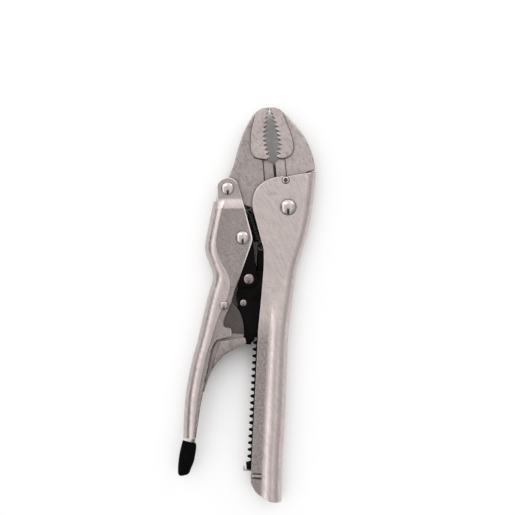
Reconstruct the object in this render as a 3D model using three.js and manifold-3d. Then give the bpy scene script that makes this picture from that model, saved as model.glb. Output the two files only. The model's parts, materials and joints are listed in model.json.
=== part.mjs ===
// Self-adjusting locking pliers with curved jaws and a wire cutter.
// The tool lies flat, jaws towards +Y, with +Z up through its thickness. The origin is on the jaw
// pivot's axis, in the plane that the rear rivet heads share. Lengths are in millimetres.
import * as THREE from 'three';
import { mergeVertices } from 'three/addons/utils/BufferGeometryUtils.js';
import Module from 'manifold-3d';

const wasm = await Module();
wasm.setup();

// ---------- driving dimensions ----------

// Pivots, measured from the jaw pivot
const handlePivotX = -38.5;
const handlePivotY = 11.8;
const togglePivotX = -29;
const togglePivotY = -19.4;
const linkPivotX = -25.1;
const linkPivotY = -45.8;
const leverPivotX = -40.9;
const leverPivotY = -62.6;
const pawlPivotX = -28.6;
const pawlPivotY = -61.1;
const rollPinX = -1.6;
const rollPinY = 17.2;

// Thicknesses, outwards from the middle plane
const jawThickness = 9.4;
const padThickness = 12.4;
const cutterEdge = 1.2;
const rackThickness = 4.4;
const plateSheet = 1.8;
const housingSheet = 2;
const handleSheet = 1.8;
const bulgeRise = 1.6;
const headHeight = 1.6;

// Clearances
const slideGap = 0.3;
const seatGap = 0.1;
const pinGap = 0.3;

// Jaws
const jawTipY = 63.6;
const mouthBottomY = 28.3;
const mouthWidth = 12.6;
const tipGap = 0.5;
const meetingX = -8.5;
const bossRadius = 10.4;
const cutterWidth = 7.4;
const tangBottomY = 7.5;
const padToothPitch = 2.6;
const padToothDepth = 1.9;

// Fixed handle
const cheekTopY = 19.8;
const cheekLeft = -22.9;
const waistLeft = -15.7;
const handleEndY = -188.4;
const housingBend = 7.5;
const lipWidth = 6;

// Rack, laid out across and along its own length
const rackTilt = THREE.MathUtils.degToRad(2.8);
const rackTipAcross = -18.3;
const lipAcross = -15.4;
const rackBackAcross = -7.2;
const rackTop = 23;
const toothPitch = 4.27;
const toothDepth = 2.3;
const toothBase = 2.5;
const toothTip = 1.2;
const lastTooth = 160;
const pastLastTooth = 8.3;
const rackEnd = lastTooth + pastLastTooth;
const toothCount = 26;

// Moving handle
const earRadius = 7;
const joggleTop = 5.2;
const joggleBottom = -0.8;
const handleBend = 7.3;
const movingEndY = -147.6;

// Pins and rivets
const jawRivetRadius = 3.2;
const jawRivetHead = 4.7;
const handleRivetRadius = 2.8;
const handleRivetHead = 3.9;
const toggleRivetRadius = 2.8;
const toggleRivetHead = 4.1;
const linkRivetRadius = 2;
const linkRivetHead = 3.2;
const leverRivetRadius = 1.8;
const leverRivetHead = 2.6;
const pawlRivetRadius = 1.5;
const pawlRivetHead = 2.1;
const rollPinRadius = 1.9;
const rollPinBore = 1;
const rackRivetRadius = 2;
const guidePinRadius = 1.6;
const screwRadius = 2;
const domeRise = 1.7;

// Carriage, toggle and lever
const carriageTop = 41.6;
const carriageBottom = 87.6;
const carriageFoot = 3.4;
const blockLength = 3.6;
const screwHeadReach = 2.6;
const pinSlot = 2.1;
const togglePlateRadius = 6.2;
const linkEndRadius = 5.4;
const pawlBite = 0.5;
const pawlReach = 5.78;
const pawlScrewGap = 1.5;
const springTopX = -26;
const springTopY = 0.6;
const springWire = 0.9;
const springRadius = 2.9;
const springTurns = 9;
const springHole = 2;
const clipWidth = 2.4;
const clipSheet = 1;
const clipHalf = 1.4;
const clipReach = 2.3;
const leverTailWidth = 2.2;
const leverTailHalf = 2.6;
const leverTailEndX = -62.6;
const leverTailReach = 19.4;
const tipHalf = 5.6;
const tipLength = 23;

// ---------- levels worked out from the thicknesses ----------

const jawHalf = jawThickness / 2;
const padHalf = padThickness / 2;
const rackHalf = rackThickness / 2;
const carriageInner = rackHalf + slideGap;
const carriageOuter = carriageInner + plateSheet;
const linkInner = carriageOuter + slideGap;
const linkOuter = linkInner + plateSheet;
const cheekInner = jawHalf + slideGap;
const cheekOuter = cheekInner + housingSheet;
const earInner = jawHalf + slideGap;
const earOuter = earInner + handleSheet;
const handleInner = linkOuter + slideGap;
const handleOuter = handleInner + handleSheet;
const restHalf = handleOuter + headHeight;

// ---------- places along the rack, worked out from the carriage's foot ----------

const blockBottom = carriageBottom - screwHeadReach;
const blockTop = blockBottom - blockLength;
const screwTip = blockTop - 0.6;
const pawlFoot = screwTip - pawlScrewGap;

// ---------- helpers ----------

const vec = (x, y) => new THREE.Vector2(x, y);
const handlePivot = vec(handlePivotX, handlePivotY);
const togglePivot = vec(togglePivotX, togglePivotY);
const linkPivot = vec(linkPivotX, linkPivotY);
const leverPivot = vec(leverPivotX, leverPivotY);
const pawlPivot = vec(pawlPivotX, pawlPivotY);
const rollPin = vec(rollPinX, rollPinY);

// A point given across the rack (to the right) and along it (away from the jaws)
function byRack(across, along) {
	const x = across * Math.cos(rackTilt) - along * Math.sin(rackTilt);
	const y = -across * Math.sin(rackTilt) - along * Math.cos(rackTilt);
	return vec(x, y);
}

function solidOf(geometry) {
	const bare = geometry.clone();
	bare.deleteAttribute('normal');
	bare.deleteAttribute('uv');
	const welded = mergeVertices(bare, 1e-4);
	const vertProperties = new Float32Array(welded.attributes.position.array);
	const triVerts = new Uint32Array(welded.index.array);
	return new wasm.Manifold(new wasm.Mesh({ numProp: 3, vertProperties, triVerts }));
}

function geometryOf(solid) {
	const mesh = solid.getMesh();
	const geometry = new THREE.BufferGeometry();
	geometry.setAttribute('position', new THREE.BufferAttribute(new Float32Array(mesh.vertProperties), 3));
	geometry.setIndex(new THREE.BufferAttribute(new Uint32Array(mesh.triVerts), 1));
	geometry.computeVertexNormals();
	return geometry;
}

function joined(...solids) {
	return solids.reduce((sum, solid) => sum.add(solid));
}

// Drops the points that lie within a tolerance of the straight line between the ones kept
function thinned(points, tolerance) {
	const first = points[0];
	const last = points[points.length - 1];
	const run = last.clone().sub(first);
	let farthest = 0;
	let distance = 0;
	for (let i = 1; i < points.length - 1; i++) {
		const away = points[i].clone().sub(first);
		const offset = run.length() > 0 ? Math.abs(run.cross(away)) / run.length() : away.length();
		if (offset > distance) {
			distance = offset;
			farthest = i;
		}
	}
	if (distance <= tolerance) {
		return [first, last];
	}
	const before = thinned(points.slice(0, farthest + 1), tolerance);
	return [...before.slice(0, -1), ...thinned(points.slice(farthest), tolerance)];
}

// The outline as a plain polygon, with no more points than its curves need
function polygon(shape, curveSegments, tolerance = 0.05) {
	const points = shape.getPoints(curveSegments);
	const apart = (point, index) => point.distanceTo(points[(index + 1) % points.length]) > 0.1;
	const clean = points.filter(apart);
	return new THREE.Shape(thinned([...clean, clean[0].clone()], tolerance).slice(0, -1));
}

// A flat piece between two levels
function plate(shape, low, high, curveSegments = 6) {
	const outline = polygon(shape, curveSegments);
	const geometry = new THREE.ExtrudeGeometry(outline, { depth: high - low, bevelEnabled: false });
	return solidOf(geometry.translate(0, 0, low));
}

// The same plate in front of the middle plane and behind it
function platePair(shape, inner, outer, curveSegments = 6) {
	return plate(shape, inner, outer, curveSegments).add(plate(shape, -outer, -inner, curveSegments));
}

// A forged piece: its two faces are chamfered all round
function forged(shape, face, chamfer, curveSegments = 6) {
	const geometry = new THREE.ExtrudeGeometry(polygon(shape, curveSegments), {
		depth: 2 * (face - chamfer),
		bevelThickness: chamfer,
		bevelSize: chamfer,
		bevelOffset: -chamfer,
		bevelSegments: 1,
	});
	return solidOf(geometry.translate(0, 0, chamfer - face));
}

function drill(centre, radius, reach = 30) {
	const geometry = new THREE.CylinderGeometry(radius, radius, 2 * reach, 20);
	geometry.rotateX(Math.PI / 2);
	return solidOf(geometry.translate(centre.x, centre.y, 0));
}

function turned(profile, centre, segments = 20) {
	const points = profile.map(([radius, height]) => vec(radius, height));
	const geometry = new THREE.LatheGeometry(points, segments);
	geometry.rotateX(Math.PI / 2);
	return geometry.translate(centre.x, centre.y, 0);
}

// A rivet with a domed front head and a flat rear head that reaches rearFace
function rivet(centre, shank, head, outer, rise, rearFace, segments = 20) {
	const seat = outer + seatGap;
	const rim = Math.min(0.5, rise / 3);
	const dome = [];
	for (let step = 0; step <= 4; step++) {
		const angle = (step / 4) * (Math.PI / 2);
		dome.push([head * Math.cos(angle), seat + rim + (rise - rim) * Math.sin(angle)]);
	}
	dome[4][0] = 0;
	const rear = [
		[0, -rearFace],
		[head - 0.6, -rearFace],
		[head, -rearFace + 0.6],
		[head, -seat],
		[shank, -seat],
		[shank, seat],
		[head, seat],
	];
	return turned([...rear, ...dome], centre, segments);
}

// A folded sheet lofted through rings, each in a plane of constant y. The first half of a ring is the
// sheet's outer face, and the second half runs back along its inner face.
function loft(rings) {
	const count = rings[0].length;
	const last = (rings.length - 1) * count;
	const index = [];
	const quad = (a, b, c, d) => index.push(a, b, c, a, c, d);
	for (let start = 0; start < last; start += count) {
		for (let i = 0; i < count; i++) {
			const next = (i + 1) % count;
			quad(start + i, start + next, start + next + count, start + i + count);
		}
	}
	for (let i = 0; i < count / 2 - 1; i++) {
		const back = count - 1 - i;
		quad(i + 1, i, back, back - 1);
		quad(last + i, last + i + 1, last + back - 1, last + back);
	}
	const geometry = new THREE.BufferGeometry();
	geometry.setAttribute('position', new THREE.Float32BufferAttribute(rings.flat(2), 3));
	geometry.setIndex(index);
	const solid = solidOf(geometry);
	if (solid.volume() > 0) {
		return solid;
	}
	return solidOf(geometry.setIndex(index.reverse()));
}

// One section of a folded channel: flat walls from the open side, a step, and a rounded spine.
// side is 1 when the spine is to the right and -1 when it is to the left.
function channelSection(y, spine, side, bend, levels, sheet) {
	const { open, stepStart, stepEnd, lip, bulge } = levels;
	const wall = (inset) => {
		const arc = [];
		for (let step = 0; step <= 5; step++) {
			const angle = (step / 5) * (Math.PI / 2);
			const out = (bend - inset) * Math.sin(angle);
			arc.push([spine - side * bend + side * out, y, (bulge - inset) * Math.cos(angle)]);
		}
		return [[open, y, lip - inset], [stepStart, y, lip - inset], [stepEnd, y, bulge - inset], ...arc];
	};
	const mirrored = (points) => points.map(([x, yy, z]) => [x, yy, -z]).reverse();
	const outer = wall(0);
	const inner = wall(sheet);
	const outside = [...outer, ...mirrored(outer).slice(1)];
	const inside = [...inner, ...mirrored(inner).slice(1)].reverse();
	return [...outside, ...inside];
}

// A wire bent along a curve
function wire(curve, radius, steps, sides = 6) {
	const section = new THREE.Shape();
	for (let side = 0; side < sides; side++) {
		const angle = (side / sides) * 2 * Math.PI;
		const corner = vec(radius * Math.cos(angle), radius * Math.sin(angle));
		if (side === 0) {
			section.moveTo(corner.x, corner.y);
		} else {
			section.lineTo(corner.x, corner.y);
		}
	}
	return new THREE.ExtrudeGeometry(section, { steps, extrudePath: curve });
}

class Course extends THREE.Curve {
	constructor(at) {
		super();
		this.at = at;
	}
	getPoint(t, target = new THREE.Vector3()) {
		return target.copy(this.at(t));
	}
}

const smoothstep = THREE.MathUtils.smoothstep;
const half = (value) => value / 2;

// ---------- materials ----------

const nickel = new THREE.MeshStandardMaterial({ color: 0xc8c0bd, roughness: 0.35, metalness: 0.9 });
const forgedSteel = new THREE.MeshStandardMaterial({ color: 0xbdb5b2, roughness: 0.5, metalness: 0.85 });
const polished = new THREE.MeshStandardMaterial({ color: 0xdedad8, roughness: 0.15, metalness: 1 });
const blackSteel = new THREE.MeshStandardMaterial({ color: 0x1b1a1b, roughness: 0.45, metalness: 0.6 });
const leverSteel = new THREE.MeshStandardMaterial({ color: 0x8f8886, roughness: 0.4, metalness: 0.9 });
const vinyl = new THREE.MeshStandardMaterial({ color: 0x111112, roughness: 0.5, metalness: 0 });

const pliers = new THREE.Group();
pliers.position.z = restHalf;

function add(name, geometry, material) {
	const mesh = new THREE.Mesh(geometry, material);
	mesh.name = name;
	pliers.add(mesh);
}

// ---------- jaws ----------

const meetingTop = vec(meetingX - 0.5, mouthBottomY - 1.2);
const meetingBottom = vec(meetingX + 1.4, Math.sqrt(bossRadius ** 2 - (meetingX + 1.4) ** 2));
const tipX = -11.8;

// Points of a row of teeth along an arc, biting towards bite
function toothRow(from, to, through, bite) {
	const curve = new THREE.QuadraticBezierCurve(from, through, to);
	const teeth = Math.round(curve.getLength() / padToothPitch);
	const points = [];
	for (let tooth = 0; tooth < teeth; tooth++) {
		const root = curve.getPointAt(tooth / teeth);
		const crest = curve.getPointAt((tooth + 0.5) / teeth);
		points.push(root, crest.add(vec(bite * padToothDepth, 0)));
	}
	points.push(to);
	return points;
}

function trace(shape, points) {
	for (const point of points) {
		shape.lineTo(point.x, point.y);
	}
}

const movingMouthTop = vec(tipX - half(tipGap) - 1.8, jawTipY - 5);
const movingMouthBottom = vec(tipX - 1.8, mouthBottomY + 2.6);
const movingMouthBelly = vec(tipX - half(mouthWidth) - 2.3, jawTipY - 24.4);
const fixedMouthTop = vec(tipX + half(tipGap) + 1.6, jawTipY - 5);
const fixedMouthBottom = vec(tipX + 6.2, mouthBottomY + 2.6);
const fixedMouthBelly = vec(tipX + half(mouthWidth) + 6.1, jawTipY - 28.6);

function movingPadShape() {
	const shape = new THREE.Shape();
	shape.moveTo(tipX - half(tipGap), jawTipY - 1.2);
	shape.lineTo(tipX - half(tipGap), jawTipY - 4);
	trace(shape, toothRow(movingMouthTop, movingMouthBottom, movingMouthBelly, 1));
	shape.lineTo(tipX - 1.2, mouthBottomY + 2);
	shape.lineTo(tipX - 4.6, mouthBottomY + 2.3);
	shape.splineThru([vec(tipX - 9.2, mouthBottomY + 3.5), vec(tipX - 11.9, mouthBottomY + 8)]);
	shape.splineThru([
		vec(tipX - 11.8, jawTipY - 18.2),
		vec(tipX - 10, jawTipY - 12),
		vec(tipX - 8.4, jawTipY - 3.6),
	]);
	shape.splineThru([vec(tipX - 4.6, jawTipY - 0.4), vec(tipX - half(tipGap), jawTipY - 1.2)]);
	return shape;
}

function fixedPadShape() {
	const shape = new THREE.Shape();
	shape.moveTo(tipX + half(tipGap), jawTipY - 4);
	shape.lineTo(tipX + half(tipGap), jawTipY - 0.8);
	shape.splineThru([
		vec(tipX + 2, jawTipY),
		vec(tipX + 4.6, jawTipY - 0.8),
		vec(tipX + 7.6, jawTipY - 3.2),
	]);
	shape.splineThru([
		vec(tipX + 11.6, jawTipY - 12),
		vec(tipX + 14.8, jawTipY - 20.5),
		vec(tipX + 15, mouthBottomY + 9),
	]);
	shape.splineThru([vec(tipX + 12.5, mouthBottomY + 5), vec(tipX + 7.1, mouthBottomY + 2.4)]);
	trace(shape, toothRow(fixedMouthBottom, fixedMouthTop, fixedMouthBelly, -1));
	shape.closePath();
	return shape;
}

// The wedge that each face of the cutter loses: full depth at the meeting line, none at its far side
function cutterWedge(side) {
	const low = cutterEdge / 2;
	const reach = side * cutterWidth;
	const profile = new THREE.Shape();
	profile.moveTo(-side * 2, low - (2 / cutterWidth) * (jawHalf - low));
	profile.lineTo(reach, jawHalf);
	profile.lineTo(reach, jawHalf + 3);
	profile.lineTo(-side * 2, jawHalf + 3);
	profile.closePath();
	const length = meetingTop.y - meetingBottom.y + 4;
	const geometry = new THREE.ExtrudeGeometry(profile, { depth: length, bevelEnabled: false });
	geometry.rotateX(Math.PI / 2);
	const lean = Math.atan2(meetingBottom.x - meetingTop.x, meetingTop.y - meetingBottom.y);
	geometry.rotateZ(lean);
	geometry.translate(meetingTop.x, meetingTop.y + 2.4, 0);
	const front = solidOf(geometry);
	return front.add(front.mirror([0, 0, 1]));
}

function springNotch() {
	const shape = new THREE.Shape();
	shape.moveTo(springTopX - 3.6, springTopY + 3.6);
	shape.lineTo(springTopX - 3.6, springTopY - 12);
	shape.lineTo(springTopX + 3.6, springTopY - 12);
	shape.lineTo(springTopX + 3.6, springTopY + 3.6);
	shape.closePath();
	return plate(shape, -springRadius - 0.9, springRadius + 0.9);
}

function movingJaw() {
	const body = new THREE.Shape();
	const gapLeft = -half(slideGap);
	body.moveTo(tipX - 3, jawTipY - 1.6);
	body.lineTo(tipX - 4.5, jawTipY - 8);
	body.splineThru([
		vec(tipX - 7.2, jawTipY - 20),
		vec(tipX - 6.5, mouthBottomY + 5),
		meetingTop.clone().add(vec(gapLeft, 0)),
	]);
	body.lineTo(meetingBottom.x + gapLeft, meetingBottom.y);
	const start = Math.atan2(meetingBottom.y, meetingBottom.x + gapLeft);
	body.absarc(0, 0, bossRadius, start, -Math.PI / 2 - 0.5, true);
	body.splineThru([
		vec(-14, -4.6),
		vec(-22.4, -0.9),
		vec(-30, 1.6),
		vec(handlePivotX + 3, handlePivotY - earRadius + 0.6),
	]);
	body.absarc(handlePivotX, handlePivotY, earRadius - 0.6, -Math.PI / 2 + 0.4, Math.PI / 2, true);
	body.splineThru([
		vec(-34.9, 26),
		vec(-33.4, 31.8),
		vec(-31.1, 39.7),
		vec(-27.8, 48.8),
		vec(-22.6, 56.9),
		vec(-18.6, 61.6),
	]);
	body.closePath();
	const spring = new THREE.Shape();
	spring.absarc(springTopX, springTopY, 3.4, Math.PI, 2 * Math.PI);
	spring.lineTo(springTopX + 3.4, springTopY + 5);
	spring.lineTo(springTopX - 3.4, springTopY + 5);
	spring.closePath();
	return joined(
		forged(body, jawHalf, 0.7),
		plate(movingPadShape(), -padHalf, padHalf, 5),
		plate(spring, -1.2, 1.2),
	)
		.subtract(springNotch())
		.add(plate(spring, -1.2, 1.2))
		.subtract(cutterWedge(-1))
		.subtract(drill(vec(0, 0), jawRivetRadius + pinGap))
		.subtract(drill(handlePivot, handleRivetRadius + pinGap))
		.subtract(drill(vec(springTopX, springTopY), springHole));
}

function fixedJaw() {
	const body = new THREE.Shape();
	const gapRight = half(slideGap);
	const arcRadius = bossRadius + slideGap + 0.1;
	const tangRight = (y) => spineAt(y) - housingSheet - 4.6;
	body.moveTo(tipX + 2.2, jawTipY - 1);
	body.splineThru([vec(-7.4, 62.6), vec(-3.9, 60.4), vec(0.7, 55.6), vec(6.9, 48.6), vec(11.5, 42)]);
	body.splineThru([vec(14.9, 34), vec(16.8, 27.2), vec(17, cheekTopY + 3.6)]);
	body.lineTo(tangRight(cheekTopY) + 1, cheekTopY + 2.2);
	body.lineTo(tangRight(cheekTopY), cheekTopY);
	body.lineTo(tangRight(tangBottomY), tangBottomY);
	const arcStart = Math.asin(tangBottomY / arcRadius);
	body.absarc(0, 0, arcRadius, arcStart, Math.atan2(meetingBottom.y, meetingBottom.x + gapRight), false);
	body.lineTo(meetingTop.x + gapRight, meetingTop.y);
	body.splineThru([
		vec(tipX + 8.6, mouthBottomY + 6),
		vec(tipX + 9.4, jawTipY - 20),
		vec(tipX + 4, jawTipY - 8),
	]);
	body.closePath();
	return forged(body, jawHalf, 0.7)
		.add(plate(fixedPadShape(), -padHalf, padHalf, 5))
		.subtract(cutterWedge(1))
		.subtract(drill(rollPin, rollPinRadius + pinGap));
}

// ---------- fixed handle ----------

const fixedSpine = new THREE.SplineCurve([
	vec(18.3, 27),
	vec(17.2, 9),
	vec(13, -14),
	vec(9, -28),
	vec(5, -43),
	vec(0.5, -79),
	vec(-0.7, -102),
	vec(-2, -136),
	vec(-3.7, -163),
	vec(-4.5, handleEndY - 5),
]);

function spineAt(y) {
	const points = fixedSpine.getPoints(120);
	const below = points.findIndex((point) => point.y <= y);
	const upper = points[Math.max(below - 1, 0)];
	const lower = points[below];
	return THREE.MathUtils.mapLinear(y, upper.y, lower.y, upper.x, lower.x);
}

function fixedHandle() {
	const rings = fixedSpine.getPoints(27).map(({ x, y }) => {
		const rise = smoothstep(-y, 44, 80);
		const lipX = byRack(lipAcross, -y).x;
		return channelSection(y, x, 1, housingBend, {
			open: -45,
			stepStart: lipX + lipWidth,
			stepEnd: lipX + lipWidth + 1.6,
			lip: cheekOuter,
			bulge: cheekOuter + bulgeRise * rise,
		}, housingSheet);
	});
	const lipStart = byRack(lipAcross, 79);
	const lipStop = byRack(lipAcross, -handleEndY - 15);
	const outline = new THREE.Shape();
	outline.moveTo(30, cheekTopY + 4.3);
	outline.lineTo(3.2, cheekTopY + 0.5);
	outline.lineTo(1.4, cheekTopY);
	outline.lineTo(-4, cheekTopY - 0.1);
	outline.splineThru([vec(-9.5, cheekTopY - 1.2), vec(-15, cheekTopY - 3.2)]);
	outline.splineThru([
		vec(-19.6, 12.4),
		vec(cheekLeft + 0.8, 7.6),
		vec(cheekLeft, 2.7),
		vec(cheekLeft + 0.4, -1.6),
	]);
	outline.lineTo(waistLeft - 1.7, -20.8);
	outline.splineThru([vec(waistLeft - 0.3, -25.5), vec(waistLeft + 0.1, -31), vec(waistLeft - 0.1, -40)]);
	outline.splineThru([vec(waistLeft - 1.6, -58), lipStart]);
	outline.lineTo(lipStop.x, lipStop.y);
	outline.splineThru([
		vec(lipStop.x + 0.9, handleEndY + 10.7),
		vec(lipStop.x + 3.6, handleEndY + 6.5),
		vec(lipStop.x + 7.8, handleEndY + 3.2),
		vec(lipStop.x + 12, handleEndY + 0.9),
		vec(lipStop.x + 16.6, handleEndY),
		vec(lipStop.x + 20.6, handleEndY + 0.6),
	]);
	outline.lineTo(30, handleEndY + 1.6);
	outline.closePath();
	return loft(rings)
		.intersect(plate(outline, -20, 20))
		.subtract(drill(vec(0, 0), jawRivetRadius + pinGap))
		.subtract(drill(rollPin, rollPinRadius + seatGap))
		.subtract(drill(rackRivetCentre, rackRivetRadius + seatGap))
		.subtract(clipSlots());
}

// ---------- rack and what holds it ----------

const rackRivetCentre = byRack(rackBackAcross - 3.2, rackTop + 5);
const springFoot = byRack(rackTipAcross + 2.4, rackTop + 4);
const clipAlong = rackEnd - 1;

function rackShape() {
	const shape = new THREE.Shape();
	const corner = (across, along) => {
		const at = byRack(across, along);
		shape.lineTo(at.x, at.y);
	};
	const root = rackTipAcross + toothDepth;
	const start = byRack(rackBackAcross, rackTop);
	shape.moveTo(start.x, start.y);
	corner(rackTipAcross + 2.5, rackTop);
	corner(rackTipAcross, rackTop + 2.5);
	const firstTooth = lastTooth - (toothCount - 1) * toothPitch;
	corner(rackTipAcross, firstTooth - toothPitch);
	corner(root, firstTooth - toothPitch + 1.2);
	for (let tooth = 0; tooth < toothCount; tooth++) {
		const along = firstTooth + tooth * toothPitch;
		corner(root, along - half(toothBase));
		corner(rackTipAcross + 0.4, along - half(toothTip));
		corner(rackTipAcross, along);
		corner(rackTipAcross + 0.4, along + half(toothTip));
		corner(root, along + half(toothBase));
	}
	corner(root, rackEnd - 5.4);
	corner(rackTipAcross - 0.6, rackEnd - 4.4);
	corner(rackTipAcross, rackEnd);
	corner(rackBackAcross, rackEnd);
	shape.closePath();
	return shape;
}

function rack() {
	return plate(rackShape(), -rackHalf, rackHalf)
		.subtract(drill(springFoot, springHole))
		.subtract(drill(rackRivetCentre, rackRivetRadius + pinGap))
		.subtract(clipHole());
}

// The clip is a flat strip that passes behind the rack's end and hooks round both sides of it
function clipBlock(across, along, width, length, low, high) {
	const shape = new THREE.Shape();
	const corners = [[0, 0], [width, 0], [width, length], [0, length]];
	corners.forEach(([dx, dy], index) => {
		const at = byRack(across + dx, along + dy);
		if (index === 0) {
			shape.moveTo(at.x, at.y);
		} else {
			shape.lineTo(at.x, at.y);
		}
	});
	shape.closePath();
	return plate(shape, low, high);
}

function clipHole() {
	return clipBlock(rackTipAcross + 3, clipAlong - clipWidth - pinGap, 3, clipWidth + 3, -10, 10);
}

function clipSlots() {
	return clipBlock(rackTipAcross + 2.6, rackEnd + 4.6, 7, 1.4, -20, 20);
}

function rackClip() {
	const start = rackTipAcross - clipReach;
	const end = rackTipAcross + 3.4;
	const bar = clipBlock(start, rackEnd + seatGap, end + clipSheet - start, clipSheet, -clipHalf, clipHalf);
	const hook = clipBlock(start, clipAlong - clipWidth + 1.4, clipSheet, clipWidth + 0.2, -clipHalf, clipHalf);
	const tongue = clipBlock(end, clipAlong - clipWidth, clipSheet, clipWidth + 1.6, -clipHalf, clipHalf);
	return joined(bar, hook, tongue);
}

// ---------- moving handle ----------

const movingSpine = new THREE.SplineCurve([
	vec(-47.4, 4.2),
	vec(-50.6, -11),
	vec(-53.1, -26),
	vec(-50.4, -36),
	vec(-48, -45),
	vec(-51.6, -58.6),
	vec(-57.4, -83.4),
	vec(-62, -101),
	vec(-65.8, -123.5),
	vec(-67.2, movingEndY - 4),
]);

function movingHandle() {
	const rings = movingSpine.getPoints(27).map(({ x, y }) => channelSection(y, x, -1, handleBend, {
		open: -10,
		stepStart: -20,
		stepEnd: -22,
		lip: handleOuter,
		bulge: handleOuter,
	}, handleSheet));
	const channelOutline = new THREE.Shape();
	channelOutline.moveTo(-60, joggleBottom + 5);
	channelOutline.lineTo(handlePivotX, joggleBottom + 2.6);
	channelOutline.lineTo(handlePivotX, joggleBottom);
	channelOutline.lineTo(-27.6, joggleBottom);
	trace(channelOutline, handleEdge());
	channelOutline.lineTo(-80, movingEndY - 0.4);
	channelOutline.closePath();
	const ears = new THREE.Shape();
	ears.moveTo(-46.9, joggleBottom - 6);
	ears.lineTo(-45.3, joggleTop);
	ears.lineTo(handlePivotX - earRadius + 0.1, handlePivotY);
	ears.absarc(handlePivotX, handlePivotY, earRadius, Math.PI, 0.35, true);
	ears.lineTo(-28.9, joggleTop - 1);
	ears.lineTo(-27.4, joggleBottom - 1);
	ears.lineTo(-26.2, joggleBottom - 6);
	ears.closePath();
	const fold = new THREE.Shape();
	fold.moveTo(joggleBottom - 6, handleInner);
	fold.lineTo(joggleBottom, handleInner);
	fold.lineTo(joggleTop, earInner);
	fold.lineTo(handlePivotY + earRadius + 5, earInner);
	fold.lineTo(handlePivotY + earRadius + 5, earOuter);
	fold.lineTo(joggleTop + 0.5, earOuter);
	fold.lineTo(joggleBottom + 0.5, handleOuter);
	fold.lineTo(joggleBottom - 6, handleOuter);
	fold.closePath();
	const sheet = new THREE.ExtrudeGeometry(fold, { depth: 60, bevelEnabled: false });
	sheet.applyMatrix4(new THREE.Matrix4().set(0, 0, 1, -60, 1, 0, 0, 0, 0, 1, 0, 0, 0, 0, 0, 1));
	const front = solidOf(sheet);
	const earPlates = front.add(front.mirror([0, 0, 1])).intersect(plate(ears, -20, 20));
	return loft(rings)
		.intersect(plate(channelOutline, -20, 20))
		.add(earPlates)
		.subtract(drill(handlePivot, handleRivetRadius + seatGap))
		.subtract(drill(togglePivot, toggleRivetRadius + seatGap))
		.subtract(drill(leverPivot, leverRivetRadius + seatGap));
}

// The handle's open edge, from the joggle to its end
function handleEdge() {
	const curve = new THREE.Path();
	curve.moveTo(-27.6, joggleBottom);
	curve.splineThru([
		vec(-25.2, -10),
		vec(-23.1, -18),
		vec(-22.9, -21.5),
		vec(-25, -28),
		vec(-29.6, -40.9),
		vec(-34.4, -54.8),
	]);
	curve.lineTo(-34.5, -56.7);
	curve.splineThru([vec(-37.2, -59.9), vec(-40.2, -66.5), vec(-41.1, -73.5)]);
	curve.lineTo(-40.4, -76.6);
	curve.lineTo(-37.2, -77.1);
	curve.lineTo(-36.4, -77.9);
	curve.lineTo(-36.3, -82.6);
	curve.lineTo(-45, -84.6);
	curve.splineThru([
		vec(-48.3, -90.3),
		vec(-51.1, -103.6),
		vec(-54.2, -115.9),
		vec(-56.5, -127.3),
		vec(-58.1, -138.8),
		vec(-58.9, movingEndY),
	]);
	return curve.getPoints(4);
}

// ---------- toggle link ----------

function linkShape() {
	const shape = new THREE.Shape();
	const heel = linkPivot.clone().add(vec(-6.2, -3.8));
	shape.absarc(togglePivot.x, togglePivot.y, togglePlateRadius, 0.05, Math.PI + 0.05);
	shape.lineTo(heel.x - 1.4, heel.y + 1.4);
	shape.absarc(heel.x, heel.y, 1.8, Math.PI * 0.85, Math.PI * 1.5);
	shape.absarc(linkPivot.x, linkPivot.y, linkEndRadius, -Math.PI * 0.62, 0.1);
	shape.closePath();
	return shape;
}

function linkPlate() {
	return plate(linkShape(), linkInner, linkOuter)
		.subtract(drill(togglePivot, toggleRivetRadius + pinGap))
		.subtract(drill(linkPivot, linkRivetRadius + seatGap));
}

// ---------- carriage ----------

const bottomCentre = byRack(rackTipAcross - 2.2, carriageBottom - carriageFoot);
const guidePinCentre = byRack(rackBackAcross + 0.5 + slideGap + 1.6, carriageTop + 20);
const screwCentreAcross = rackTipAcross - 3.2;

function carriageShape() {
	const shape = new THREE.Shape();
	const start = byRack(rackBackAcross + 4.6, carriageTop + 3);
	shape.moveTo(start.x, start.y);
	const to = (across, along) => {
		const at = byRack(across, along);
		shape.lineTo(at.x, at.y);
	};
	to(rackBackAcross + 2.6, carriageTop);
	shape.absarc(linkPivot.x, linkPivot.y, linkEndRadius - 0.2, Math.PI / 2 - 0.1, Math.PI - 0.2);
	to(rackTipAcross - 11.4, carriageTop + 14.6);
	to(rackTipAcross - 11.6, carriageTop + 19.1);
	to(rackTipAcross - 9.8, carriageTop + 27);
	to(rackTipAcross - 9.6, carriageTop + 31.4);
	shape.absarc(bottomCentre.x, bottomCentre.y, carriageFoot, Math.PI - 0.1, 2 * Math.PI + 0.2);
	to(rackBackAcross + 4.6, carriageTop + 34);
	shape.closePath();
	return shape;
}

// The slot that lets the link's pin travel a little along the rack
function pinSlotCutter() {
	const shape = new THREE.Shape();
	const reach = linkRivetRadius + 0.85;
	const centre = byRack(0, 0);
	shape.absarc(centre.x, centre.y + pinSlot, reach, 0, Math.PI);
	shape.absarc(centre.x, centre.y - pinSlot, reach, Math.PI, 2 * Math.PI);
	shape.closePath();
	const geometry = new THREE.ExtrudeGeometry(shape, { depth: 40, bevelEnabled: false, curveSegments: 8 });
	geometry.translate(0, 0, -20);
	geometry.rotateZ(-rackTilt);
	geometry.translate(linkPivot.x, linkPivot.y, 0);
	return solidOf(geometry);
}

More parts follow.
